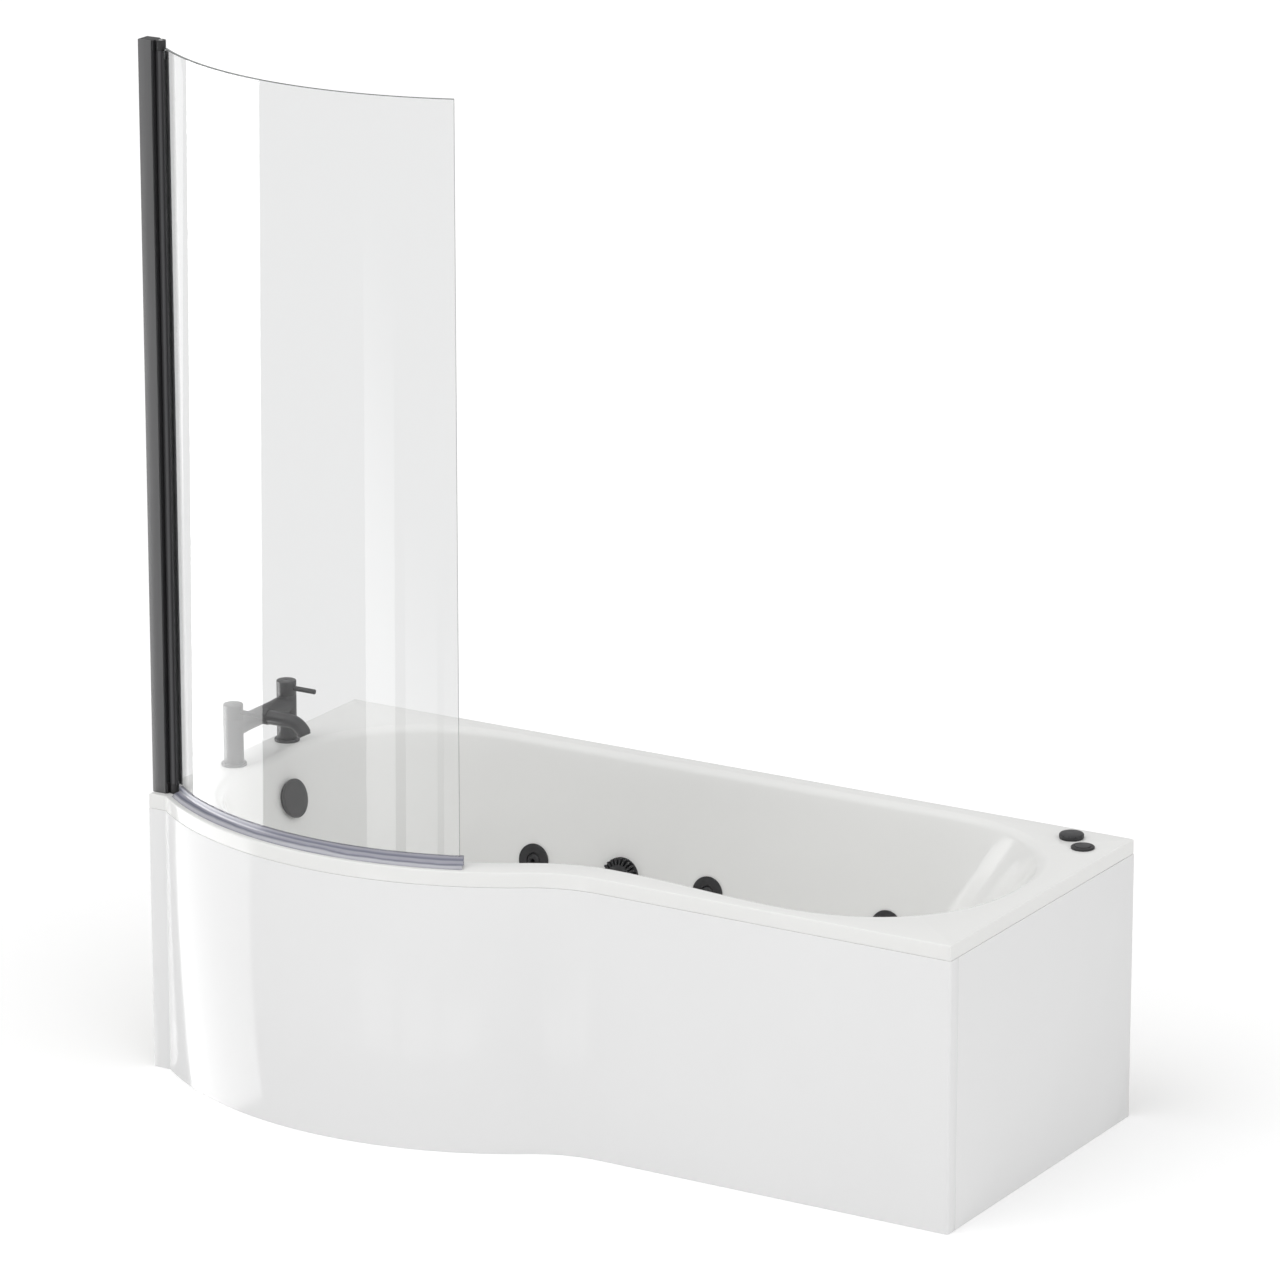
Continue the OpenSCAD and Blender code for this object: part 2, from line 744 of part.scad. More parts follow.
// One bent sheet: the front, then a round corner and a short return at the head end
module front_panel() {
    edge = bath_len + panel_proud;
    corner = [edge - corner_r, corner_r - panel_proud];
    back = panel_return - panel_proud;
    outer = [for (i = [0:corner_steps]) let (a = blend(-90, 0, i / corner_steps))
        corner + corner_r * [cos(a), sin(a)]];
    inner = [for (p = outer) corner + (p - corner) * (1 - panel_t / corner_r)];
    face = front_line(panel_proud, corner[0] - ease);
    rear = front_line(panel_proud - panel_t, corner[0] - ease);
    color("white") placed() linear_extrude(panel_top) polygon(concat(
        face, outer, [[edge, back], [edge - panel_t, back]],
        [for (i = [corner_steps:-1:0]) inner[i]], [for (i = [len(rear) - 1:-1:0]) rear[i]]
    ));
}
corner_steps = 5;

module end_panel() {
    y0 = panel_return - panel_proud + seat_gap * 2;
    color("white") placed() translate([bath_len + panel_proud - panel_t, y0, 0])
        cube([panel_t, narrow_w - y0, panel_top]);
}

// Battens behind the panels, on the floor and under the rim: short blocks round the bulge,
// long ones along the straights
module panel_rails() {
    back = panel_proud - panel_t - rail_gap;
    face = sqrt(pow(bulge_r + back, 2) - pow(rail_block / 2, 2));
    end_x = bath_len + back - rail_w;
    end_y = panel_return + rail_w;
    color("burlywood") placed() for (z = [0, panel_top - rail_h]) {
        for (s = rail_shares) translate([bulge_x, bulge_y, z]) rotate([0, 0, blend(kink_a(0), meet_a, s)])
            translate([face - rail_w, -rail_block / 2, 0]) cube([rail_w, rail_block, rail_h]);
        translate([sweep_x, -back, z]) cube([end_x - rail_gap - sweep_x, rail_w, rail_h]);
        translate([end_x, end_y, z]) cube([rail_w, narrow_w - end_y - rail_w, rail_h]);
    }
}

// Waste and overflow

waste_tube_r = 24;
waste_flange_r = 35;
waste_flange_t = 3;
waste_bore_r = 20;
waste_tube_l = 28;
flange_bevel = 2;
plug_r = 31;
plug_t = 5;
plug_lift = 12;
guide_r = 7;
guide_z = -18;
guide_t = 8;
spoke_w = 3;
plug_stem_r = 4;
plug_stem_l = 34;
cup_r = 38;
cup_wall = 4;
cup_h = 40;
spigot_l = 10;
socket_wall = 4;
socket_in = 16;
pipe_socket_l = 14;
cable_socket_l = 10;
cup_top = -shell_t - seat_gap;
spigot_r = 21;
trap_r = 21;
trap_bend = 32;
trap_low = 9;
trap_z = trap_low + trap_r + trap_bend;
trap_rise = 8;
trap_nut_wall = 5;
trap_out_in = 60;
trap_out_y = narrow_w - trap_out_in;
trap_out_r = 20;
overflow_face_r = 33;
overflow_face_t = 4;
knob_r = 37.5;
knob_t = 9;
crown_share = 0.6;
knob_stand = 2;
knob_stem_r = 6;
overflow_l = 46;
drain_r = 6;
drain_share = 0.62;
pipe_r = 12;
pipe_x = 32;
pipe_bend = 60;
cable_r = 3;

module at_waste() {
    translate([waste_x, waste_y, sump_z]) children();
}

module waste_flange() {
    color("dimgray") placed() at_waste() difference() {
        union() {
            rotate_extrude() polygon([
                [waste_bore_r, -waste_tube_l], [waste_tube_r, -waste_tube_l], [waste_tube_r, 0],
                [waste_flange_r, 0], [waste_flange_r, waste_flange_t / 2],
                    [waste_flange_r - flange_bevel, waste_flange_t],
                [waste_bore_r, waste_flange_t]
            ]);
            translate([0, 0, guide_z]) cylinder(r = guide_r, h = guide_t);
            for (a = [0, 90]) rotate([0, 0, a]) translate([-waste_bore_r - ease, -spoke_w / 2, guide_z])
                cube([2 * (waste_bore_r + ease), spoke_w, guide_t]);
        }
        translate([0, 0, guide_z - cut]) cylinder(r = plug_stem_r + run_fit, h = guide_t + 2 * cut);
    }
}

module waste_plug() {
    z = waste_flange_t + move_gap;
    color("dimgray") placed() at_waste() {
        rotate_extrude() polygon([
            [0, z], [plug_r, z], [plug_r, z + plug_t / 2], [plug_r - 3 * ease, z + plug_t - ease],
            [plug_r / 2, z + plug_t], [0, z + plug_t]
        ]);
        translate([0, 0, z - plug_stem_l]) cylinder(r = plug_stem_r, h = plug_stem_l + ease);
    }
}

module waste_body() {
    side_z = overflow_run_z - sump_z;
    color("black") placed() at_waste() difference() {
        union() {
            translate([0, 0, cup_top - cup_h]) cylinder(r = cup_r, h = cup_h);
            translate([0, 0, cup_top - cup_h - spigot_l]) cylinder(r = spigot_r, h = spigot_l + cut);
            side_socket(0, side_z, pipe_socket_l)
                cylinder(r = pipe_r + socket_wall, h = pipe_socket_l + socket_in);
            side_socket(cable_off, side_z, cable_socket_l)
                cylinder(r = 2 * cable_r, h = cable_socket_l + socket_in);
        }
        translate([0, 0, cup_top - cup_h + cup_wall]) cylinder(r = cup_r - cup_wall, h = cup_h + cut);
        translate([0, 0, cup_top - cup_h - spigot_l - cut])
            cylinder(r = spigot_r - cup_wall, h = spigot_l + 2 * cut + 2 * cup_wall);
        side_socket(0, side_z, pipe_socket_l + cut)
            cylinder(r = pipe_r + seat_gap, h = pipe_socket_l + socket_in);
        side_socket(cable_off, side_z, cable_socket_l + cut)
            cylinder(r = cable_r + seat_gap, h = cable_socket_l + socket_in);
    }
}
module side_socket(y, z, out) {
    translate([-cup_r - out, y, z]) rotate([0, 90, 0]) children();
}

module waste_trap() {
    top = sump_z + cup_top - cup_h - spigot_l - seat_gap;
    rise_y = waste_y + 2 * trap_bend;
    out_z = trap_z + trap_bend + trap_rise;
    color("black") placed() translate([waste_x, 0, 0]) difference() {
        union() {
            translate([0, waste_y, trap_z]) cylinder(r = trap_r, h = top - trap_z);
            translate([0, waste_y + trap_bend, trap_z]) rotate([90, 0, 90])
                rotate_extrude(angle = -180) translate([trap_bend, 0]) circle(r = trap_r, $fn = 32);
            translate([0, rise_y, trap_z]) cylinder(r = trap_r, h = out_z - trap_z - trap_bend);
            translate([0, rise_y + trap_bend, out_z - trap_bend]) rotate([90, 0, 90]) rotate([0, 0, 180])
                rotate_extrude(angle = -90) translate([trap_bend, 0]) circle(r = trap_r, $fn = 32);
            translate([0, rise_y + trap_bend, out_z]) rotate([-90, 0, 0])
                cylinder(r = trap_r, h = trap_out_y - rise_y - trap_bend);
            translate([0, trap_out_y - trap_bend, out_z]) rotate([-90, 0, 0])
                cylinder(r = trap_r + trap_nut_wall, h = trap_bend);
        }
        translate([0, trap_out_y - trap_bend, out_z]) rotate([-90, 0, 0])
            cylinder(r = trap_out_r, h = trap_bend + cut);
    }
}

overflow_run_z = sump_z + cup_top - cup_h / 2;

module overflow_body() {
    color("dimgray") placed() at_place(tap_place(waste_y, overflow_z)) difference() {
        union() {
            translate([0, 0, -pad_depth]) cylinder(r = overflow_face_r, h = overflow_face_t);
            translate([0, 0, -overflow_l]) cylinder(r = overflow_barrel_r, h = overflow_l);
            translate([0, 0, -shell_t - locknut_t - seat_gap]) cylinder(r = locknut_r, h = locknut_t);
        }
        for (a = [45:90:315]) rotate([0, 0, a])
            translate([overflow_barrel_r * drain_share, 0, -overflow_l / 2])
            cylinder(r = drain_r, h = overflow_l);
        translate([0, 0, -overflow_l / 2]) cylinder(r = knob_stem_r + run_fit, h = overflow_l);
    }
}

module overflow_knob() {
    z = overflow_face_t - pad_depth + knob_stand;
    color("dimgray") placed() at_place(tap_place(waste_y, overflow_z)) {
        rotate_extrude() polygon([
            [0, z], [knob_r - 2 * ease, z], [knob_r, z + 2 * ease], [knob_r, z + knob_t - 2 * ease],
            [knob_r - ease, z + knob_t - ease], [knob_r * crown_share, z + knob_t], [0, z + knob_t]
        ]);
        translate([0, 0, ease - overflow_l / 2]) cylinder(r = knob_stem_r, h = z + overflow_l / 2);
    }
}

// The overflow pipe drops behind the tap end and runs in to the waste body
module dropped_pipe(r, x, y, bend, end_x, z_top) {
    z = overflow_run_z;
    translate([x, y, z + bend]) cylinder(r = r, h = z_top - z - bend);
    translate([x + bend, y, z + bend]) rotate([90, 0, 0]) rotate([0, 0, 180])
        rotate_extrude(angle = 90) translate([bend, 0]) circle(r = r, $fn = 32);
    translate([x + bend, y, z]) rotate([0, 90, 0]) cylinder(r = r, h = end_x - x - bend);
}

module overflow_pipe() {
    p = tap_place(waste_y, overflow_z);
    root = p[0] - inward(p) * (overflow_l + seat_gap);
    color("black") placed() {
        dropped_pipe(pipe_r, pipe_x, waste_y, pipe_bend, waste_x - cup_r - cut, hood_z);
        bar(root, root - inward(p) * hood_l, pipe_r + hood_wall);
        translate([pipe_x, waste_y, hood_z]) rotate([-90, 0, 0])
            cylinder(r = cable_r * 2, h = cable_off + cable_r * 2);
    }
}
// Height of the hood behind the overflow, where the pipe and the cable hang from it
hood_l = 24;
hood_wall = 6;
cable_off = 21;
hood_z = overflow_z - (overflow_l + hood_l / 2) * sin(tap_tilt);

module plug_cable() {
    color("gray") placed() dropped_pipe(
        cable_r, pipe_x, waste_y + cable_off, pipe_bend, waste_x - cup_r - cut,
            hood_z - cable_r * 2 - seat_gap
    );
}

// Jets

module jet_nozzle(i) {
    color("dimgray") placed() at_place(jet_places[i]) difference() {
        union() {
            intersection() {
                translate([0, 0, jet_ball_z]) sphere(r = jet_ball_r);
                translate([0, 0, jet_ball_z]) cylinder(r = jet_ball_r, h = jet_ball_r * ball_share);
            }
            translate([0, 0, jet_ball_z - throat_back]) cylinder(r = jet_mouth_r - 2 * ease, h = throat_l);
            translate([0, 0, jet_ball_z - stem_back]) cylinder(r = jet_stem_r, h = stem_l);
        }
        rotate([0, outlet_angle, 0]) translate([0, 0, jet_ball_z])
            cylinder(r = jet_outlet_r, h = 2 * jet_ball_r);
    }
}

module jet_bezels() {
    lip = bezel_lip;
    color("dimgray") placed() for (p = jet_places) at_place(p) translate([0, 0, -pad_depth])
        rotate_extrude() polygon([
        [jet_mouth_r + lip, 0], [jet_flange_r, 0], [jet_flange_r, jet_flange_t / 2],
        [jet_flange_r - lip, jet_flange_t - lip / 2], [jet_mouth_r + 3 * lip, jet_flange_t],
        [jet_mouth_r, jet_flange_t - lip]
    ]);
}

module jet_housings() {
    cavity_r = jet_ball_r + ease;
    color("white") placed() for (p = jet_places) at_place(p) difference() {
        union() {
            translate([0, 0, -jet_depth]) cylinder(r = jet_barrel_r, h = jet_depth - pad_depth);
            translate([0, tee_half, -tee_depth]) rotate([90, 0, 0]) cylinder(r = tee_r, h = 2 * tee_half);
            translate([-air_rise + air_r, 0, -tee_depth]) rotate([0, 90, 0])
                cylinder(r = air_r - 2 * ease, h = air_rise - air_r);
        }
        translate([0, 0, jet_ball_z - cavity_back]) cylinder(r = cavity_r, h = cavity_l);
        translate([0, 0, jet_ball_z - stem_back - ease]) cylinder(r = jet_stem_r + run_fit, h = stem_l);
        for (s = [-1, 1]) translate([0, s * (tee_half - socket_depth), -tee_depth]) rotate([-90 * s, 0, 0])
            cylinder(r = water_r + 2 * seat_gap, h = socket_depth + cut);
    }
}

module jet_locknuts() {
    color("white") placed() for (p = jet_places) at_place(p)
        translate([0, 0, -shell_t - seat_gap - locknut_t]) difference() {
            cylinder(r = jet_barrel_r + locknut_wall, h = locknut_t, $fn = 8);
            translate([0, 0, -cut]) cylinder(r = jet_barrel_r + seat_gap, h = locknut_t + 2 * cut);
        }
}

// Suction

module suction_cover() {
    color("dimgray") placed() at_place(back_place(suction_x, jet_z)) translate([0, 0, -pad_depth])
        difference() {
        rotate_extrude() polygon([
            [0, 0], [suction_flange_r, 0], [suction_flange_r, cover_edge_t],
                [suction_flange_r - cover_slope, cover_slope_t],
            [suction_flange_r - cover_crown, cover_t - ease], [0, cover_t]
        ]);
        for (a = [0:15:345]) rotate([0, 0, a])
            translate([suction_flange_r - cover_crown - ease, -slot_w / 2, slot_floor])
            cube([slot_l, slot_w, cover_t]);
    }
}

module suction_housing() {
    p = back_place(suction_x, jet_z);
    c = p[0] - inward(p) * elbow_depth;
    low = pump_z + suction_r + elbow_rise;
    color("white") placed() {
        at_place(p) {
            translate([0, 0, -suction_depth]) cylinder(r = suction_barrel_r, h = suction_depth - pad_depth);
            translate([0, 0, -shell_t - locknut_t - seat_gap]) cylinder(r = suction_nut_r, h = locknut_t);
        }
        translate([c[0], run_y, low]) cylinder(r = suction_r + elbow_wall, h = c[2] - low);
    }
}

module suction_pipe() {
    top = pump_z + suction_r + elbow_rise - seat_gap;
    x1 = volute_x0 - 2 * swan_run;
    color("white") placed() swept(rounded([
        [suction_x, run_y, top], [suction_x, run_y, pump_z], [x1, run_y, pump_z],
        [x1 + swan_run, pump_y, pump_z], [volute_x0 - neck_l - seat_gap, pump_y, pump_z]
    ], suction_bend, 4), suction_r, 16);
}

// Pump

module along_pump(x) {
    translate([x, pump_y, pump_z]) rotate([0, 90, 0]) children();
}

module pump_base() {
    color("burlywood") placed() translate([volute_x0 - base_over, pump_y - base_w / 2, 0])
        cube([volute_w + motor_l + base_over, base_w, pump_base_t]);
}

module pump_volute() {
    riser_z = volute_r + outlet_l;
    color("dimgray") placed() {
        along_pump(volute_x0) rotate_extrude() polygon([
            [0, -neck_l], [suction_r + neck_wall, -neck_l], [suction_r + neck_wall, 0],
                [volute_r - shoulder_r, 0],
            [volute_r, shoulder_l], [volute_r, volute_w - shoulder_l], [volute_r - shoulder_r, volute_w],
                [0, volute_w]
        ]);
        translate([riser_x, pump_y, pump_z]) cylinder(r = water_r + outlet_wall, h = riser_z);
        translate([riser_x - volute_foot_t / 2, pump_y - volute_foot_w / 2, pump_base_t])
            cube([volute_foot_t, volute_foot_w, pump_z - pump_base_t - volute_r * volute_foot_share]);
    }
}

module pump_motor() {
    fins = 22;
    color("dimgray") placed() {
        along_pump(motor_x0) difference() {
            union() {
                cylinder(r = motor_r - fin_h, h = motor_l);
                for (i = [0:fins - 1]) rotate([0, 0, i * 360 / fins]) translate([0, -fin_t / 2, fin_x])
                    cube([motor_r, fin_t, motor_l - cowl_l - fin_x - 2 * ease]);
                translate([0, 0, motor_l - cowl_l]) cylinder(r = motor_r, h = cowl_l);
            }
            for (i = [0:5], r = vent_rings) rotate([0, 0, 60 * i + r]) translate([r, 0, motor_l - vent_r])
                cylinder(r = vent_r, h = 2 * vent_r);
        }
        translate([motor_x0 + motor_foot_x, pump_y - motor_foot_w / 2, pump_base_t])
            cube([motor_foot_l, motor_foot_w, pump_z - pump_base_t - motor_r * motor_foot_share]);
        translate([motor_x0 + box_x, pump_y - motor_foot_w / 2, pump_z + motor_r - box_drop])
            cube([motor_l - box_x - box_end, motor_foot_w, box_h]);
    }
}

module pump_unions() {
    color("gray") placed() {
        along_pump(volute_x0 - union_l - neck_l - seat_gap) difference() {
            cylinder(r = suction_r + union_wall + union_grip, h = union_l, $fn = 8);
            translate([0, 0, -cut]) cylinder(r = suction_r + seat_gap, h = union_l + 2 * cut);
        }
        translate([riser_x, pump_y, pump_z + volute_r + outlet_l + seat_gap]) difference() {
            cylinder(r = water_r + union_wall + union_grip, h = union_l, $fn = 8);
            translate([0, 0, -cut]) cylinder(r = water_r + seat_gap, h = union_l + 2 * cut);
        }
    }
}

// Water and air lines

// Centre of a jet's tee, and of the air line above it
function tee_at(i) = jet_places[i][0] - inward(jet_places[i]) * tee_depth;
function air_at(i) = tee_at(i) - downward(jet_places[i]) * air_rise;
// Direction of a jet's run, and a point on it
function run_dir(i) = [cos(jet_places[i][1] - 90), sin(jet_places[i][1] - 90), 0];
function run_at(i, s) = tee_at(i) + s * run_dir(i);
// Radius of a point about the bulge's centre in plan
function bulge_dist(p) = norm([p[0] - bulge_x, p[1] - bulge_y]);

// The line of a pipe along the front, from the straight front round to an angle of the bulge
function front_arcs(r, z, a) = concat(
    arc_points([sweep_x, -sweep_r], sweep_r + bulge_r - r, z, 90, meet_a + 180, 4),
    [for (i = [1:5]) arc_points([bulge_x, bulge_y], r, z, blend(meet_a, a, i / 5), 0, 1)[0]]
);
// A tee with its run along one axis and its branch along another
module tee(run, branch, half, r) {
    for (d = [run, -run]) bar([0, 0, 0], d * half, r);
    bar([0, 0, 0], branch * half, r - ease);
}
water_tee = 30;
air_tee = 14;
water_bend = 24;
// How far a line runs straight outside a jet's socket
stub_out = 3;
knee_bend = 45;
air_tee_wall = 3;
air_bend = 22;
knob_bend = 30;
return_bend = 40;
// The air line's own tee stands this far past the pump's riser
cross_off = 28;
// Share of the water line's rise that the air line makes, and of its barrel that the knob's tube reaches up
air_lift_share = 0.8;
air_reach_share = 0.8;
// How far the lines rise to pass over the suction housing, and the run they take
over_rise = 55;
over_half = 48;
knee_run = 90;
// The same line lifted over the suction housing
function lifted(p, q, rise) = [
    p, [suction_x - over_half - over_rise / 2, p[1], p[2]], [suction_x - over_half, p[1], p[2] + rise],
    [suction_x + over_half, p[1], p[2] + rise], [suction_x + over_half + over_rise / 2, p[1], p[2]], q
];

module water_manifold() {
    trim = tee_half - socket_depth + seat_gap;
    step = [trim, 0, 0];
    out = tee_half + 2 * stub_out;
    r = bulge_dist(tee_at(3));
    z = tee_at(3)[2];
    off = (out + stub_out) / r * 180 / PI;
    back = tee_at(2);
    knee = run_at(5, knee_run);
    low = pump_z + volute_r + outlet_l + seat_gap;
    half = water_tee + seat_gap;
    color("white") placed() {
        swept(rounded(lifted(tee_at(0) + step, tee_at(1) - step, over_rise), water_bend, 3), water_r, 12);
        bar(tee_at(1) + step, back - step, water_r);
        translate([riser_x, pump_y, low]) cylinder(r = water_r, h = z - low - half);
        translate([riser_x, pump_y, z]) tee([0, 1, 0], [0, 0, -1], water_tee, water_r + tee_wall);
        swept(rounded([
            [riser_x, pump_y + half, z], [riser_x, back[1], z],
                [back[0] + 3 * water_tee, back[1], back[2]], back + step
        ], water_bend, 4), water_r, 12);
        swept(rounded([[riser_x, pump_y - half, z], [riser_x, knee[1], z], knee, run_at(5, trim)],
            knee_bend, 4), water_r, 12);
        swept(concat(
            [run_at(5, -trim), run_at(5, -out)], front_arcs(r, z, second_bulge_angle + off),
                [run_at(4, out), run_at(4, trim)]
        ), water_r, 12);
        swept(concat(
            [run_at(4, -trim), run_at(4, -out)],
            arc_points([bulge_x, bulge_y], r, z, second_bulge_angle - off, first_bulge_angle + off, 5),
            [run_at(3, out), run_at(3, trim)]
        ), water_r, 12);
    }
}

module air_manifold() {
    r = bulge_dist(air_at(3));
    back = air_at(2);
    front = air_at(5);
    z = back[2];
    front_z = air_at(3)[2];
    cross_x = riser_x + cross_off;
    half = air_tee + seat_gap;
    lift = [0, 0, over_rise * air_lift_share];
    top = rim_h - air_barrel_l * air_reach_share;
    color("gainsboro") placed() {
        swept(rounded(
            concat(lifted(air_at(0) - [air_r, 0, 0], air_at(1), lift[2]), [[cross_x - half, back[1], z]]),
                air_bend, 3
        ), air_r, 8);
        translate([cross_x, back[1], z]) tee([1, 0, 0], [0, -1, 0], air_tee, air_r + air_tee_wall);
        swept(rounded([
            [cross_x + half, back[1], z], [air_knob_x, air_knob_y, z], [air_knob_x, air_knob_y, top]
        ], knob_bend, 5), air_r, 8);
        swept(concat(
            rounded([
                [cross_x, back[1] - half, z], [cross_x, front[1], front_z],
                    [front[0] - air_rise, front[1], front_z]
            ], return_bend, 4),
            front_arcs(r, front_z, first_bulge_angle - 1)
        ), air_r, 8);
    }
}

module pneumatic_tube() {
    low = pump_z + motor_r - box_drop + box_h + seat_gap;
    top = rim_h + control_flange - start_barrel_l - seat_gap;
    color("gray") placed() translate([start_x, start_y, low]) cylinder(r = pneumatic_r, h = top - low);
}

// Deck controls

module air_control_body() {
    color("dimgray") placed() translate([air_knob_x, air_knob_y, rim_h]) difference() {
        union() {
            cylinder(r = air_knob_r - knob_shadow, h = control_flange);
            translate([0, 0, -air_barrel_l]) cylinder(r = air_barrel_r, h = air_barrel_l + ease);
        }
        translate([0, 0, -air_barrel_l / 2]) cylinder(r = control_stem_r + run_fit, h = air_barrel_l);
        translate([0, 0, -air_barrel_l - cut]) cylinder(r = air_r + seat_gap, h = air_barrel_l / 3);
    }
}

module air_control_knob() {
    z = control_flange + move_gap;
    color("dimgray") placed() translate([air_knob_x, air_knob_y, rim_h]) {
        difference() {
            rotate_extrude() polygon([
                [0, z], [air_knob_r, z], [air_knob_r, z + air_knob_h - knob_bevel],
                [air_knob_r - knob_bevel / 2, z + air_knob_h - ease],
                    [air_knob_r - knob_crown, z + air_knob_h], [0, z + air_knob_h]
            ]);
            for (i = [0:11]) rotate([0, 0, 30 * i + 15]) translate([air_knob_r + grip_out, 0, z - cut])
                cylinder(r = grip_r, h = air_knob_h + 2 * cut);
        }
        translate([0, 0, ease - air_barrel_l / 2]) cylinder(r = control_stem_r, h = air_barrel_l / 2 + z);
    }
}

module start_button_body() {
    well = start_h - ease;
    color("dimgray") placed() translate([start_x, start_y, rim_h]) difference() {
        union() {
            rotate_extrude() polygon([
                [0, 0], [start_r, 0], [start_r, start_h - start_edge], [start_r - start_edge, start_h],
                    [0, start_h]
            ]);
            translate([0, 0, control_flange - start_barrel_l])
                cylinder(r = start_barrel_r, h = start_barrel_l);
        }
        translate([0, 0, start_h - well]) cylinder(r = start_button_r + move_gap, h = well + cut);
        translate([0, 0, -start_barrel_l / 2]) cylinder(r = control_stem_r + run_fit, h = start_barrel_l);
    }
}

module start_button() {
    z = ease + start_travel + move_gap;
    color("dimgray") placed() translate([start_x, start_y, rim_h]) {
        rotate_extrude() polygon([
            [0, z], [start_button_r, z], [start_button_r, start_h + start_proud],
                [start_button_r - 2 * ease, start_h + start_rise - ease],
            [0, start_h + start_rise]
        ]);
        translate([0, 0, start_stem_up - start_barrel_l / 2])
            cylinder(r = control_stem_r, h = start_barrel_l / 2 - start_stem_up + ease + z);
    }
}

module deck_nut(x, y, r, r_out, h) {
    translate([x, y, rim_h - shell_t - seat_gap - h]) difference() {
        cylinder(r = r_out, h = h, $fn = 6);
        translate([0, 0, -cut]) cylinder(r = r + seat_gap, h = h + 2 * cut);
    }
}

module deck_nuts() {
    color("gray") placed() {
        for (y = tap_ys) deck_nut(tap_x, y, tail_r, tap_nut_r, tap_nut_h);
        deck_nut(air_knob_x, air_knob_y, air_barrel_r, air_nut_r, control_nut_h);
        deck_nut(start_x, start_y, start_barrel_r, start_nut_r, control_nut_h);
    }
}

// Filler

module tap_flanges() {
    color("dimgray") placed() for (y = tap_ys) translate([tap_x, y, rim_h]) difference() {
        rotate_extrude() polygon([
            [0, 0], [flange_r, 0], [flange_r, flange_t - ease], [flange_r - ease, flange_t], [0, flange_t]
        ]);
        translate([0, 0, -cut]) cylinder(r = tail_r + seat_gap, h = flange_t + 2 * cut);
    }
}

module tap_tails() {
    color("goldenrod") placed() for (y = tap_ys) translate([tap_x, y, rim_h + flange_t - tail_drop])
        difference() {
        union() {
            cylinder(r = tail_r, h = tail_thread);
            cylinder(r = tail_r - tail_relief, h = tail_drop);
        }
        translate([0, 0, -cut]) cylinder(r = tail_r - tail_wall, h = tail_drop + 2 * cut);
    }
}

module tap_body() {
    z = rim_h + arm_h;
    flare_r = pillar_r - flare_in;
    color("dimgray") placed() difference() {
        union() {
            for (y = tap_ys) translate([tap_x, y, rim_h + flange_t])
                cylinder(r = pillar_r, h = cap_z - rim_h - flange_t - move_gap);
            translate([tap_x, tap_ys[0], z]) rotate([-90, 0, 0]) rotate_extrude() polygon([
                [0, 0], [flare_r, 0], [flare_r, pillar_r], [arm_r, pillar_r + flare_len],
                [arm_r, tap_width - pillar_r - flare_len], [flare_r, tap_width - pillar_r],
                    [flare_r, tap_width], [0, tap_width]
            ]);
            translate([tap_x, tap_y, z]) rotate([0, 90, 0])
                cylinder(r = spout_r + boss_wall, h = arm_r + boss_h);
        }
        for (y = tap_ys) translate([tap_x, y, cap_z - valve_drop])
            cylinder(r = valve_r + seat_gap, h = valve_drop + cut);
        translate([tap_x + arm_r - spout_seat, tap_y, z]) rotate([0, 90, 0])
            cylinder(r = spout_r + seat_gap, h = spout_seat + boss_h + cut);
    }
}

module spout_end() {
    translate([tap_x + spout_run, tap_y, rim_h + arm_h - spout_bend]) rotate([0, spout_angle, 0])
        translate([0, 0, spout_bend]) rotate([0, 90, 0]) children();
}

module tap_spout() {
    x0 = tap_x + arm_r - spout_seat + seat_gap;
    color("dimgray") placed() difference() {
        union() {
            translate([x0, tap_y, rim_h + arm_h]) rotate([0, 90, 0])
                cylinder(r = spout_r, h = tap_x + spout_run - x0);
            translate([tap_x + spout_run, tap_y, rim_h + arm_h - spout_bend]) rotate([90, 0, 0])
                rotate([0, 0, 90])
                rotate_extrude(angle = -spout_angle) translate([spout_bend, 0])
                    circle(r = spout_r, $fn = 32);
        }
        spout_end() translate([0, 0, -aerator_l]) cylinder(r = aerator_r + seat_gap, h = aerator_l + cut);
    }
}

module tap_aerator() {
    color("black") placed() spout_end() translate([0, 0, seat_gap - aerator_l]) difference() {
        cylinder(r = aerator_r, h = aerator_l + aerator_out);
        translate([0, 0, aerator_floor]) cylinder(r = aerator_bore, h = aerator_l + aerator_out);
        translate([aerator_bore - ease, -notch_w / 2, aerator_l + aerator_out - notch_h])
            cube([aerator_r, notch_w, notch_h + cut]);
    }
}

module tap_valves() {
    color("goldenrod") placed() for (y = tap_ys) translate([tap_x, y, cap_z - valve_drop]) {
        cylinder(r = valve_r, h = valve_drop - move_gap);
        cylinder(r = stem_r, h = valve_drop + stem_h);
    }
}

module tap_handle(y) {
    color("dimgray") placed() translate([tap_x, y, cap_z]) difference() {
        union() {
            rotate_extrude() polygon([[0, 0], [pillar_r, 0], [pillar_r, cap_h - ease],
                [pillar_r - ease, cap_h], [0, cap_h]]);
            translate([0, 0, cap_h - lever_drop]) rotate([0, 90, 0]) cylinder(r = lever_r, h = lever_reach);
        }
        translate([0, 0, -cut]) cylinder(r = stem_r + run_fit, h = stem_h + cut + move_gap);
        translate([0, 0, cap_h - dot_depth]) cylinder(r = dot_r, h = cut);
    }
}
module tap_handle_hot() tap_handle(tap_ys[0]);
module tap_handle_cold() tap_handle(tap_ys[1]);

// Screen

// Holes to the wall, and the pinch screws that join the two profiles on the inner side
screw_hole_r = 2.75;
pinch_r = 1.75;
pinch_head_r = 3.5;
pinch_head_t = 2;
pinch_x = 15;
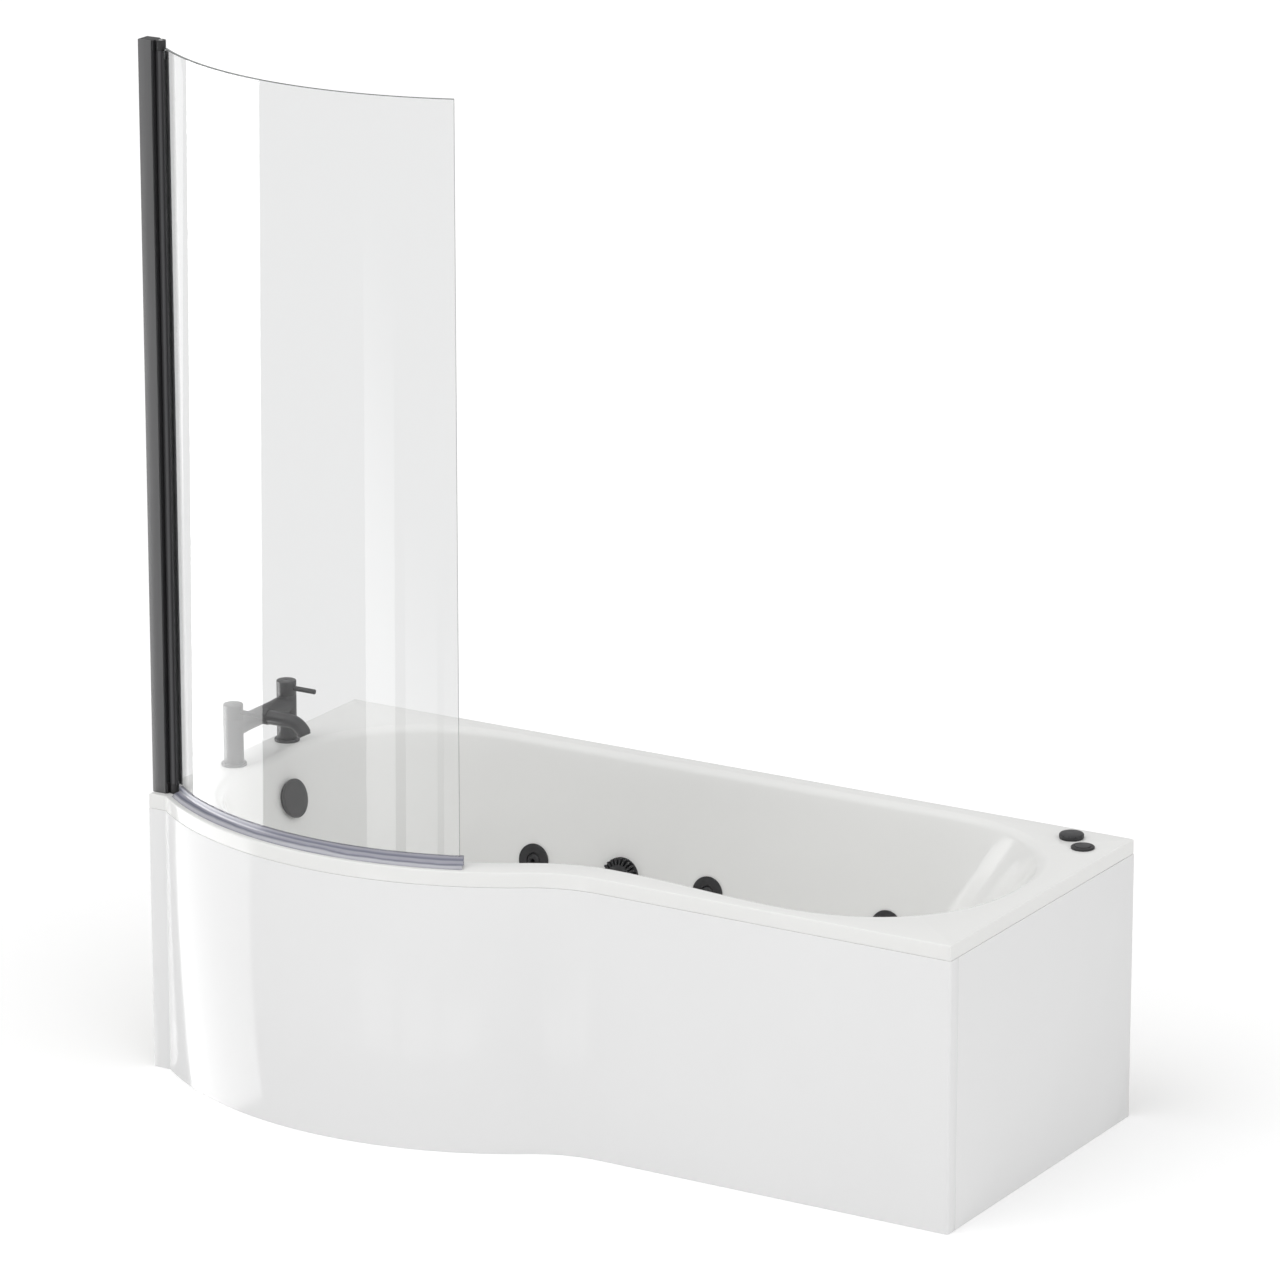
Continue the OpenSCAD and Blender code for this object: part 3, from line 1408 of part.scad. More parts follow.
// Back and front of the adjusting profile
profile_slide = 4;
adjust_x0 = profile_t + profile_slide;
post_gap = 1;
adjust_x = hinge_x - post_r - post_gap;
screw_in = 120;
inner_face = profile_y0 + profile_w;
module pinch_holes() {
    for (z = screw_zs) translate([pinch_x, inner_face - 3 * profile_t, z]) rotate([-90, 0, 0])
        cylinder(r = pinch_r + seat_gap, h = 4 * profile_t);
}

module wall_profile() {
    color("dimgray") placed() difference() {
        translate([0, profile_y0, rim_h + seat_gap]) cube([profile_d, profile_w, screen_h - seat_gap]);
        translate([profile_t, profile_y0 + profile_t, rim_h - cut])
            cube([profile_d, profile_w - 2 * profile_t, screen_h + 2 * cut]);
        for (z = screw_zs) translate([-cut, hinge_y, z]) rotate([0, 90, 0])
            cylinder(r = screw_hole_r, h = profile_t + 2 * cut);
        pinch_holes();
    }
}
screw_zs = [rim_h + screw_in, rim_h + screen_h / 2, screen_top - screw_in];

module adjust_profile() {
    gap = seat_gap;
    x0 = adjust_x0;
    color("dimgray") placed() difference() {
        translate([x0, profile_y0 + profile_t + gap, rim_h + block_h + gap])
            cube([adjust_x - x0, profile_w - 2 * profile_t - 2 * gap, screen_h - 2 * block_h - 2 * gap]);
        translate([x0 + profile_t, profile_y0 + 2 * profile_t + gap, rim_h])
            cube([profile_d - x0 - 3 * profile_t, profile_w - 4 * profile_t - 2 * gap, screen_h]);
        pinch_holes();
    }
}

module profile_screws() {
    color("silver") placed() for (z = screw_zs) translate([pinch_x, inner_face, z]) rotate([-90, 0, 0]) {
        cylinder(r = pinch_head_r, h = pinch_head_t);
        translate([0, 0, -3 * profile_t]) cylinder(r = pinch_r, h = 3 * profile_t + pinch_head_t / 2);
    }
}

module hinge_blocks() {
    w = profile_w - 2 * profile_t - 2 * seat_gap;
    color("black") placed() for (z = [rim_h + seat_gap, screen_top - block_h]) translate([0, 0, z])
        difference() {
        union() {
            translate([profile_t + seat_gap, hinge_y - w / 2, 0])
                cube([adjust_x + 2 - profile_t - seat_gap, w, block_h - seat_gap]);
            translate([hinge_x, hinge_y, 0]) cylinder(r = post_r, h = block_h - seat_gap);
        }
        translate([hinge_x, hinge_y, -cut]) cylinder(r = pin_r + seat_gap / 2, h = block_h + 2 * cut);
    }
}

module hinge_pins() {
    color("silver") placed() translate([hinge_x, hinge_y, 0]) {
        translate([0, 0, rim_h + 2 * seat_gap]) cylinder(r = pin_r, h = pin_l);
        translate([0, 0, screen_top - pin_l]) cylinder(r = pin_r, h = pin_l);
    }
}

module pivot_post() {
    h = post_z1 - post_z0;
    half = glass_t / 2 + jaw_gap + jaw_t;
    slot = glass_t / 2 + jaw_gap;
    color("dimgray") placed() difference() {
        union() {
            translate([hinge_x, hinge_y, post_z0]) cylinder(r = post_r, h = h);
            sector([bulge_x, bulge_y, post_z0], post_a + along(jaw_start), post_a + along(jaw_reach))
                translate([glass_r - half, 0]) square([2 * half, h]);
        }
        translate([hinge_x, hinge_y, post_z0 - cut])
            cylinder(r = bush_r + seat_gap, h = bush_l + cut + move_gap);
        translate([hinge_x, hinge_y, post_z1 - bush_l - move_gap])
            cylinder(r = bush_r + seat_gap, h = bush_l + cut + move_gap);
        sector([bulge_x, bulge_y, post_z0 - cut], post_a + along(glass_start),
            post_a + along(jaw_reach + cut))
            translate([glass_r - slot, 0]) square([2 * slot, h + 2 * cut]);
    }
}

module post_bushes() {
    color("black") placed() for (z = [post_z0, post_z1 - bush_l]) translate([hinge_x, hinge_y, z])
        tube(bush_r, pin_r + run_fit, bush_l);
}

module glass_panel() {
    color("lightcyan", 0.4) placed()
        sector([bulge_x, bulge_y, glass_z], post_a + along(glass_start + ease), glass_end_a)
            translate([glass_r - glass_t / 2, 0]) square([glass_t, glass_top - glass_z]);
}

module glazing_gasket() {
    h = glass_top - glass_z - 2 * gasket_end;
    in = glass_t / 2 + seat_gap / 2;
    out = glass_t / 2 + jaw_gap - seat_gap / 2;
    color("black") placed() for (side = [-1, 1])
        sector([bulge_x, bulge_y, glass_z + gasket_end], post_a + along(glass_start + ease),
            post_a + along(jaw_reach))
            translate([glass_r + (side > 0 ? in : -out), 0]) square([out - in, h]);
}

// Fins of the seal as shares of its height: out from its wall, then up from the rim
outer_fin_shares = [[0, 0.45], [0.55, 0.275], [0.75, 0], [0.675, 0], [0.5, 0.2], [-0.05, 0.325]];
inner_fin_shares = [[0.125, 0.325], [-0.05, 0], [-0.125, 0], [0, 0.35]];
module bottom_seal() {
    s = glass_t / 2 + seat_gap / 2;
    w = s + seal_wall;
    low = rim_h + move_gap;
    top = rim_h + seal_h;
    floor = glass_z - seat_gap / 2;
    color("slategray", 0.7) placed()
        sector([bulge_x, bulge_y, 0], post_a + along(jaw_reach + seal_start),
            glass_end_a + along(seal_over))
            translate([glass_r, 0]) polygon(concat(
                [[-w, top], [-s, top], [-s, floor], [s, floor], [s, top], [w, top]],
                [for (p = outer_fin_shares) [w + p[0] * seal_h, max(low, rim_h + p[1] * seal_h)]],
                [for (p = inner_fin_shares) [-w + p[0] * seal_h, max(low, rim_h + p[1] * seal_h)]]
            ));
}

bath_shell();
base_board();
rim_battens();
leg_channels();
leg_rods();
leg_nuts();
foot_pads();
front_panel();
end_panel();
panel_rails();
waste_flange();
waste_plug();
waste_body();
waste_trap();
overflow_knob();
overflow_body();
overflow_pipe();
plug_cable();
jet_nozzle(0);  // jet_nozzle_1
jet_nozzle(1);  // jet_nozzle_2
jet_nozzle(2);  // jet_nozzle_3
jet_nozzle(3);  // jet_nozzle_4
jet_nozzle(4);  // jet_nozzle_5
jet_nozzle(5);  // jet_nozzle_6
jet_bezels();
jet_housings();
jet_locknuts();
suction_cover();
suction_housing();
suction_pipe();
pump_motor();
pump_volute();
pump_base();
pump_unions();
water_manifold();
air_manifold();
pneumatic_tube();
air_control_knob();
air_control_body();
start_button();
start_button_body();
deck_nuts();
tap_body();
tap_spout();
tap_aerator();
tap_handle_hot();
tap_handle_cold();
tap_valves();
tap_flanges();
tap_tails();
wall_profile();
adjust_profile();
profile_screws();
hinge_blocks();
hinge_pins();
pivot_post();
post_bushes();
glass_panel();
glazing_gasket();
bottom_seal();
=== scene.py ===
# Jetted shower bath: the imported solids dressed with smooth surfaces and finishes
import json
import math
import bmesh
import bpy
from mathutils import Matrix, Vector


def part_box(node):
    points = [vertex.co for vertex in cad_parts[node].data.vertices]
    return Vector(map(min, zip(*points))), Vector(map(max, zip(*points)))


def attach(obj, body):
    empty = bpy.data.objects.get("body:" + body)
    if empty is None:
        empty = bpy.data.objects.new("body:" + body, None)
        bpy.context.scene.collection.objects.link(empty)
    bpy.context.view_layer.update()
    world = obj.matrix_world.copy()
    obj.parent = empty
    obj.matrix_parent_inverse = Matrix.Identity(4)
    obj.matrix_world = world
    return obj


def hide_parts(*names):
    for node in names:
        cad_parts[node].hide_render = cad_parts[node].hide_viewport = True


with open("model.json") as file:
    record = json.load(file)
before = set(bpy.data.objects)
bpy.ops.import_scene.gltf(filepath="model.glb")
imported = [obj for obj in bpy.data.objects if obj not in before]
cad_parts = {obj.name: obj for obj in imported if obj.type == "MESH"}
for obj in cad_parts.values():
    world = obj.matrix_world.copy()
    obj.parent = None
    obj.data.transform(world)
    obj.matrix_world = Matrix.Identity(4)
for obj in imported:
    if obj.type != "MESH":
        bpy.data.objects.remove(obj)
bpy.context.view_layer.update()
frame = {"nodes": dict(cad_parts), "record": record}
nodes = frame["nodes"]
print("frame loaded:", len(nodes), "solids")

# Sizes are in metres. Places are written from the tap end (x), the straight front (y) and the floor (z).
bath = {
    "length": 1.7, "width": 0.7, "bulgeOut": 0.15, "bulgeRadius": 0.7, "flatIn": 0.037, "sweepRadius": 0.24,
    "rimHeight": 0.54, "lipHeight": 0.028, "wall": 0.005, "rimRound": 0.003, "basinDepth": 0.4,
    "edgeRadius": 0.014, "coveRadius": 0.062, "dishFall": 0.006, "dishRadius": 0.1, "sumpRadius": 0.042,
    "waste": (0.3, 0.334), "corner": (0.403, 0.34), "tapCorner": 0.28, "headRound": 2.2, "cornerRound": 2.3,
    "headLean": 0.1353, "startLean": 0.428,
}
# Insets of the basin from the rim: front, side of the head end, back, tap end, head end, start of the head round
frontEdge, sideEdge, backEdge, tapEdge, headStart = 0, 1, 2, 3, 5
edgePlan = (0.071, 0.044, 0.044, 0.076, 0.064, 1.33)
bulgeY = bath["bulgeRadius"] - bath["bulgeOut"]
bulgeX = bath["flatIn"] + math.sqrt(bath["bulgeRadius"] ** 2 - bulgeY ** 2)
reach = bath["bulgeRadius"] + bath["sweepRadius"]
sweepX = bulgeX + math.sqrt(reach ** 2 - (bulgeY + bath["sweepRadius"]) ** 2)
meetAngle = math.atan2(-bath["sweepRadius"] - bulgeY, sweepX - bulgeX)
# What the wall leans in from its top to its foot, in the same order
leanPlan = (
    0.06, 0.055, 0.055, 0.08, bath["headLean"] * bath["length"], -bath["startLean"] * (edgePlan[headStart] - sweepX)
)

shellLow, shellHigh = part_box("bath_shell")
originX, originY = shellLow[0], shellHigh[1] - bath["width"]


def place(x, y, z):
    return Vector((originX + x, originY + y, z))


def link(name, mesh):
    piece = bpy.data.objects.new(name, mesh)
    bpy.context.scene.collection.objects.link(piece)
    return piece


def meshFrom(name, points, faces):
    mesh = bpy.data.meshes.new(name)
    mesh.from_pydata([tuple(p) for p in points], [], faces)
    mesh.validate()
    return mesh


def smooth(mesh, degrees):
    mesh.polygons.foreach_set("use_smooth", [True] * len(mesh.polygons))
    mesh.set_sharp_from_angle(angle=math.radians(degrees))
    mesh.update()


def bake(piece):
    depsgraph = bpy.context.evaluated_depsgraph_get()
    mesh = bpy.data.meshes.new_from_object(piece.evaluated_get(depsgraph), depsgraph=depsgraph)
    piece.modifiers.clear()
    piece.data = mesh
    return mesh


def addNode(tree, kind, **values):
    node = tree.nodes.new(kind)
    for key, value in values.items():
        node.inputs[key].default_value = value
    return node


def addSpan(tree, value, start, end, low, high):
    span = addNode(tree, "ShaderNodeMapRange")
    for key, number in (("From Min", start), ("From Max", end), ("To Min", low), ("To Max", high)):
        span.inputs[key].default_value = number
    tree.links.new(value, span.inputs["Value"])
    return span


# Stage and camera
camera = {
    "at": (7.323, -10.462, 4.645), "yaw": 30.88, "pitch": 16.64, "focal": 7175, "frame": 1280, "sensor": 36,
    "reach": 200,
}


def makeCamera():
    yaw, pitch = math.radians(camera["yaw"]), math.radians(camera["pitch"])
    look = Vector((-math.sin(yaw) * math.cos(pitch), math.cos(yaw) * math.cos(pitch), -math.sin(pitch)))
    data = bpy.data.cameras.new("viewCamera")
    data.sensor_width = camera["sensor"]
    data.lens = camera["focal"] / camera["frame"] * camera["sensor"]
    data.clip_end = camera["reach"]
    view = bpy.data.objects.new("viewCamera", data)
    view.location = place(*camera["at"])
    view.rotation_euler = look.to_track_quat("-Z", "Y").to_euler()
    bpy.context.scene.collection.objects.link(view)
    bpy.context.scene.camera = view


light = {
    "sky": 0.67, "behindGlass": 0.87,
    "floor": {"size": 60, "shade": 0.9, "rough": 0.9, "gloss": 0.1, "glow": 0.2},
    "suns": {
        "keySun": {"turn": -35, "rise": 50, "power": 0.74, "spread": 50},
        "fillSun": {"turn": 65, "rise": 35, "power": 0.58, "spread": 60},
    },
    # Soft boxes that show in gloss alone; they reach under the floor, as gloss seen from above looks down
    # roll turns a box about its middle; fade gives where it starts to dim and where it is dark, up its height
    "boxes": {
        "leftBox": {"at": (-3.4, -1.0, -0.48), "size": (2.9, 3.9), "glow": 5.2, "roll": -10},
        "slitBox": {"at": (-3.4, 1.1, -0.15), "size": (0.45, 3.0), "glow": 0.8, "roll": -22},
        "paneOne": {"at": (-2.1, -12, -3.1), "size": (2.2, 5.4), "glow": 2.8, "roll": -6, "fade": (0.5, 0.9)},
        "paneTwo": {"at": (0.85, -12, -3.1), "size": (2.2, 5.4), "glow": 2.8, "roll": -6, "fade": (0.35, 0.7)},
        "paneThree": {"at": (3.8, -12, -3.1), "size": (2.75, 5.4), "glow": 2.8, "roll": -6, "fade": (0.3, 0.6)},
    },
}


def makeSun(name, turn, rise, power, spread):
    data = bpy.data.lights.new(name, "SUN")
    data.energy = power
    data.angle = math.radians(spread)
    lamp = bpy.data.objects.new(name, data)
    # turn is seen from above, from straight in front of the bath towards its head end
    a, b = math.radians(turn), math.radians(rise)
    towards = Vector((-math.sin(a) * math.cos(b), math.cos(a) * math.cos(b), -math.sin(b)))
    lamp.rotation_euler = towards.to_track_quat("-Z", "Y").to_euler()
    bpy.context.scene.collection.objects.link(lamp)


def makeBox(name, at, size, glow, roll, fade=None):
    data = bpy.data.lights.new(name, "AREA")
    data.shape = "RECTANGLE"
    data.size, data.size_y = size
    data.energy = glow * math.pi * size[0] * size[1]
    lamp = bpy.data.objects.new(name, data)
    # it stands upright, square to the bath, and faces it from the tap end or from the front
    facing = Vector((1, 0, 0)) if abs(at[0]) > abs(at[1]) / 2 else Vector((0, 1, 0))
    turn = facing.to_track_quat("-Z", "Y").to_matrix() @ Matrix.Rotation(math.radians(roll), 3, "Z")
    lamp.matrix_world = Matrix.Translation(place(*at)) @ turn.to_4x4()
    lamp.visible_camera = lamp.visible_diffuse = lamp.visible_transmission = False
    bpy.context.scene.collection.objects.link(lamp)
    if fade:
        fadeTop(data, *fade)


def fadeTop(data, start, end):
    data.use_nodes = True
    tree = data.node_tree
    split = tree.nodes.new("ShaderNodeSeparateXYZ")
    tree.links.new(tree.nodes.new("ShaderNodeNewGeometry").outputs["Parametric"], split.inputs["Vector"])
    drop = addSpan(tree, split.outputs["Y"], start, end, 1, 0)
    drop.interpolation_type = "SMOOTHSTEP"
    tree.links.new(drop.outputs["Result"], tree.nodes["Emission"].inputs["Strength"])


def skyShader(tree):
    # white to the camera, a little less through the glass, softer as light and in reflections
    path = tree.nodes.new("ShaderNodeLightPath")
    through = addSpan(tree, path.outputs["Is Transmission Ray"], 0, 1, light["sky"], light["behindGlass"])
    level = addSpan(tree, path.outputs["Is Camera Ray"], 0, 1, 0, 1)
    tree.links.new(through.outputs["Result"], level.inputs["To Min"])
    sky = addNode(tree, "ShaderNodeBackground", Color=(1, 1, 1, 1))
    tree.links.new(level.outputs["Result"], sky.inputs["Strength"])
    return sky


def makeFloor(size, shade, rough, gloss, glow):
    corners = [(-size, -size, 0), (size, -size, 0), (size, size, 0), (-size, size, 0)]
    floor = link("floor", meshFrom("floor", corners, [(0, 1, 2, 3)]))
    finish = bpy.data.materials.new("paleFloor")
    finish.use_nodes = True
    tree = finish.node_tree
    surface = tree.nodes["Principled BSDF"]
    surface.inputs["Base Color"].default_value = (shade, shade, shade, 1)
    surface.inputs["Roughness"].default_value = rough
    surface.inputs["Specular IOR Level"].default_value = gloss
    # a little glow to the camera lifts the lit floor to white and leaves the shadow
    seen = addSpan(tree, tree.nodes.new("ShaderNodeLightPath").outputs["Is Camera Ray"], 0, 1, 0, glow)
    surface.inputs["Emission Color"].default_value = (1, 1, 1, 1)
    tree.links.new(seen.outputs["Result"], surface.inputs["Emission Strength"])
    floor.data.materials.append(finish)
    floor.visible_glossy = False


def makeStage():
    world = bpy.context.scene.world or bpy.data.worlds.new("studio")
    bpy.context.scene.world = world
    world.use_nodes = True
    world.node_tree.nodes.clear()
    out = world.node_tree.nodes.new("ShaderNodeOutputWorld")
    world.node_tree.links.new(skyShader(world.node_tree).outputs[0], out.inputs["Surface"])
    makeFloor(**light["floor"])
    for name, sizes in light["suns"].items():
        makeSun(name, **sizes)
    for name, sizes in light["boxes"].items():
        makeBox(name, **sizes)
    bpy.context.scene.view_settings.view_transform = "Standard"


makeCamera()
makeStage()
print("stage and camera set")


# Finishes
def newFinish(name, color, rough, metal=0.0):
    shade = bpy.data.materials.new(name)
    shade.use_nodes = True
    surface = shade.node_tree.nodes["Principled BSDF"]
    surface.inputs["Base Color"].default_value = (*color, 1)
    surface.inputs["Roughness"].default_value = rough
    surface.inputs["Metallic"].default_value = metal
    return shade, surface


def noiseOn(shade, scale, detail=4, stretch=(1, 1, 1)):
    tree = shade.node_tree
    coords = tree.nodes.new("ShaderNodeTexCoord")
    mapping = addNode(tree, "ShaderNodeMapping", Scale=stretch)
    noise = addNode(tree, "ShaderNodeTexNoise", Scale=scale, Detail=detail)
    tree.links.new(coords.outputs["Object"], mapping.inputs["Vector"])
    tree.links.new(mapping.outputs["Vector"], noise.inputs["Vector"])
    return noise


# what most of a noise's values lie between, and how much finer a finish's bumps are than its drift
noiseSpan = (0.3, 0.7)
bumpFiner = 6


def varyColor(shade, surface, noise, color, spread):
    ramp = shade.node_tree.nodes.new("ShaderNodeValToRGB")
    for stop, at, share in zip(ramp.color_ramp.elements, noiseSpan, (1 - spread, 1 + spread)):
        stop.position = at
        stop.color = (*[min(1, c * share) for c in color], 1)
    shade.node_tree.links.new(noise.outputs["Fac"], ramp.inputs["Fac"])
    shade.node_tree.links.new(ramp.outputs["Color"], surface.inputs["Base Color"])


def varyRough(shade, surface, noise, low, high):
    span = addSpan(shade.node_tree, noise.outputs["Fac"], *noiseSpan, low, high)
    shade.node_tree.links.new(span.outputs["Result"], surface.inputs["Roughness"])


def addBump(shade, surface, noise, strength, depth):
    bump = addNode(shade.node_tree, "ShaderNodeBump", Strength=strength, Distance=depth)
    shade.node_tree.links.new(noise.outputs["Fac"], bump.inputs["Height"])
    shade.node_tree.links.new(bump.outputs["Normal"], surface.inputs["Normal"])


# spread is how far the colour drifts, rough its lowest and highest, scale the drift's spots to the metre
def mottled(name, color, spread, rough, scale, metal=0.0, bump=0.0, depth=0.0002, stretch=(1, 1, 1), gloss=0.5):
    shade, surface = newFinish(name, color, rough[0], metal)
    noise = noiseOn(shade, scale, stretch=stretch)
    varyColor(shade, surface, noise, color, spread)
    varyRough(shade, surface, noise, *rough)
    if bump:
        addBump(shade, surface, noiseOn(shade, scale * bumpFiner, stretch=stretch), bump, depth)
    surface.inputs["Specular IOR Level"].default_value = gloss
    return shade


pane = {"color": (0.968, 0.972, 0.972), "rough": 0.0, "clear": 1.0, "index": 1.45}
groundEdge = {"color": (0.12, 0.135, 0.135), "rough": 0.18, "clear": 0.12, "grain": 300, "bump": 0.05, "depth": 0.0001}


def clearGlass():
    shade, surface = newFinish("clearGlass", pane["color"], pane["rough"])
    surface.inputs["Transmission Weight"].default_value = pane["clear"]
    surface.inputs["IOR"].default_value = pane["index"]
    return shade


def glassEdge():
    shade, surface = newFinish("groundGlassEdge", groundEdge["color"], groundEdge["rough"])
    surface.inputs["Transmission Weight"].default_value = groundEdge["clear"]
    addBump(shade, surface, noiseOn(shade, groundEdge["grain"]), groundEdge["bump"], groundEdge["depth"])
    return shade


# The seal's layers, bands of painted shade and painted highlight that stand for light caught and blocked by the clear
# seal's fins and inner edges, from its foot to its top: where each lies and its colour
seal = {
    "color": (0.62, 0.62, 0.7), "rough": 0.2, "clear": 0.3, "grain": 60, "bump": 0.1, "depth": 0.0003,
    "height": 0.02, "drift": 0.22, "driftScale": 9,
    "layers": [
        (0.1, (0.3, 0.31, 0.37)), (0.2, (0.56, 0.56, 0.62)), (0.38, (0.66, 0.66, 0.71)), (0.46, (0.24, 0.25, 0.32)),
        (0.53, (0.52, 0.52, 0.6)), (0.66, (0.6, 0.6, 0.66)), (0.78, (0.27, 0.28, 0.36)), (0.9, (0.34, 0.35, 0.43)),
        (1.0, (0.5, 0.5, 0.57)),
    ],
}


def clearVinyl():
    shade, surface = newFinish("clearVinyl", seal["color"], seal["rough"])
    tree = shade.node_tree
    split = tree.nodes.new("ShaderNodeSeparateXYZ")
    tree.links.new(tree.nodes.new("ShaderNodeTexCoord").outputs["Object"], split.inputs["Vector"])
    foot = bath["rimHeight"]
    height = addSpan(tree, split.outputs["Z"], foot, foot + seal["height"], 0, 1)
    # a slow noise lets the painted bands of shade and highlight wander a little along the seal
    shift = tree.nodes.new("ShaderNodeMath")
    shift.operation = "MULTIPLY_ADD"
    shift.inputs[1].default_value = seal["drift"]
    tree.links.new(noiseOn(shade, seal["driftScale"], detail=3).outputs["Fac"], shift.inputs[0])
    tree.links.new(height.outputs["Result"], shift.inputs[2])
    # the ramp paints the seal's own tint in bands of painted shade and painted highlight up its height
    ramp = tree.nodes.new("ShaderNodeValToRGB")
    line = ramp.color_ramp.elements
    while len(line) < len(seal["layers"]):
        line.new(0.5)
    for stop, (at, color) in zip(line, seal["layers"]):
        stop.position = at
        stop.color = (*color, 1)
    tree.links.new(shift.outputs[0], ramp.inputs["Fac"])
    tree.links.new(ramp.outputs["Color"], surface.inputs["Base Color"])
    surface.inputs["Transmission Weight"].default_value = seal["clear"]
    addBump(shade, surface, noiseOn(shade, seal["grain"]), seal["bump"], seal["depth"])
    return shade


finishes = {
    "acrylic": mottled("whiteAcrylic", (0.855, 0.855, 0.842), 0.008, (0.1, 0.18), 3, gloss=0.2),
    "panel_acrylic": mottled("panelAcrylic", (0.835, 0.835, 0.835), 0.006, (0.07, 0.12), 3, gloss=0.1),
    "laminate": mottled("glassFibreBack", (0.6, 0.59, 0.53), 0.1, (0.5, 0.7), 22, bump=0.5, depth=0.0012),
    "timber": mottled("pineTimber", (0.62, 0.45, 0.27), 0.22, (0.55, 0.75), 9, bump=0.3, stretch=(1, 14, 14)),
    "galvanised": mottled("galvanisedSteel", (0.5, 0.52, 0.53), 0.16, (0.35, 0.55), 26, metal=1, bump=0.05),
    "zinc": mottled("zincPlate", (0.62, 0.61, 0.57), 0.08, (0.28, 0.4), 40, metal=1, bump=0.04),
    "foot_rubber": mottled("footRubber", (0.035, 0.035, 0.036), 0.15, (0.6, 0.8), 60, bump=0.15),
    "black_plastic": mottled("blackPlastic", (0.022, 0.022, 0.023), 0.12, (0.42, 0.55), 80, bump=0.12),
    "black_fitting": mottled("blackFitting", (0.028, 0.028, 0.03), 0.1, (0.38, 0.5), 60, bump=0.08),
    "black_filler": mottled("blackPowderCoat", (0.026, 0.026, 0.028), 0.1, (0.36, 0.46), 140, bump=0.1),
    "black_profile": mottled(
        "blackAnodised", (0.05, 0.05, 0.053), 0.08, (0.32, 0.42), 90, metal=0.3, bump=0.05, stretch=(1, 1, 0.05)
    ),
    # the profile's broad face: black anodised metal painted grey, a painted reflection of the soft boxes
    "sheen_painted_face": mottled(
        "anodisedPaintedSheen", (0.12, 0.12, 0.122), 0.05, (0.34, 0.42), 90, bump=0.04, stretch=(1, 1, 0.05)
    ),
    "cable_grey": mottled("greySheath", (0.2, 0.2, 0.21), 0.1, (0.45, 0.6), 60, bump=0.08),
    "white_pvc": mottled("whitePipe", (0.7, 0.7, 0.68), 0.03, (0.3, 0.42), 12, bump=0.04),
    "clear_hose": mottled("clearHose", (0.6, 0.63, 0.63), 0.06, (0.2, 0.3), 30, bump=0.04),
    "nut_plastic": mottled("nutPlastic", (0.09, 0.09, 0.092), 0.1, (0.45, 0.6), 60, bump=0.1),
    "motor": mottled("motorCasting", (0.05, 0.06, 0.075), 0.12, (0.4, 0.55), 70, metal=0.2, bump=0.2),
    "volute": mottled("voluteMoulding", (0.03, 0.03, 0.033), 0.12, (0.42, 0.55), 60, bump=0.12),
    "brass": mottled(
        "turnedBrass", (0.72, 0.52, 0.24), 0.08, (0.22, 0.34), 50, metal=1, bump=0.05, stretch=(1, 1, 12)
    ),
    "steel_pin": mottled("groundSteel", (0.6, 0.6, 0.61), 0.05, (0.2, 0.3), 60, metal=1, bump=0.03),
    "glass": clearGlass(),
    "glass_edge": glassEdge(),
    "gasket": mottled("blackGasket", (0.02, 0.02, 0.021), 0.1, (0.6, 0.75), 60, bump=0.1),
    "seal_vinyl": clearVinyl(),
}
slotOf = {part["node"]: part["material_slot"] for part in frame["record"]["subparts"]}
bodyOf = {node: body for body, members in frame["record"]["behaviour"]["bodies"].items() for node in members}
# the profile's broad face is painted paler than the black parts beside it: a painted reflection of the soft boxes on
# the same black anodised metal
finishOf = {**slotOf, "wall_profile": "sheen_painted_face"}


def wear(piece, slot):
    piece.data.materials.clear()
    piece.data.materials.append(finishes[slot])


for node, piece in nodes.items():
    wear(piece, finishOf[node])
print("finishes made")


def easeEdges(piece, width, degrees):
    bevel = piece.modifiers.new("ease", "BEVEL")
    bevel.width = width
    bevel.segments = 2
    bevel.limit_method = "ANGLE"
    bevel.angle_limit = math.radians(degrees)
    bake(piece)


dressing = {"merge": 0.000004, "flat": 0.1, "sharp": 32}


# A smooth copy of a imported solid: its facets merged, its edges eased
def dress(node, ease):
    name = node + "_dressed"
    source = bmesh.new()
    source.from_mesh(nodes[node].data)
    bmesh.ops.remove_doubles(source, verts=source.verts, dist=dressing["merge"])
    flat = math.radians(dressing["flat"])
    bmesh.ops.dissolve_limit(source, angle_limit=flat, verts=source.verts, edges=source.edges)
    mesh = bpy.data.meshes.new(name)
    source.to_mesh(mesh)
    source.free()
    piece = link(name, mesh)
    wear(piece, finishOf[node])
    if ease:
        easeEdges(piece, ease, dressing["sharp"])
    smooth(piece.data, dressing["sharp"])
    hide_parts(node)
    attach(piece, bodyOf[node])


# Plan curves of the basin and the rim, with matching points
steps = {"head": 96, "back": 16, "corner": 40, "tap": 8, "fillet": 30, "bulge": 60, "sweep": 26, "front": 14}


def blend(a, b, t):
    return a + (b - a) * t


def eased(t):
    return t * t * (3 - 2 * t)


def bent(v, power):
    return math.copysign(abs(v) ** power, v)


def clip(v):
    return max(-1.0, min(1.0, v))


def onBulge(r, a):
    return bulgeX + r * math.cos(a), bulgeY + r * math.sin(a)


def onSweep(d, a):
    r = bath["sweepRadius"] + d
    return sweepX + r * math.cos(a), -bath["sweepRadius"] + r * math.sin(a)


def filletOf(p):
    q = bath["tapCorner"] - (p[tapEdge] - edgePlan[tapEdge])
    x = p[tapEdge] + q
    y = bulgeY - math.sqrt((bath["bulgeRadius"] - p[frontEdge] - q) ** 2 - (bulgeX - x) ** 2)
    return q, x, y, math.atan2(y - bulgeY, x - bulgeX)


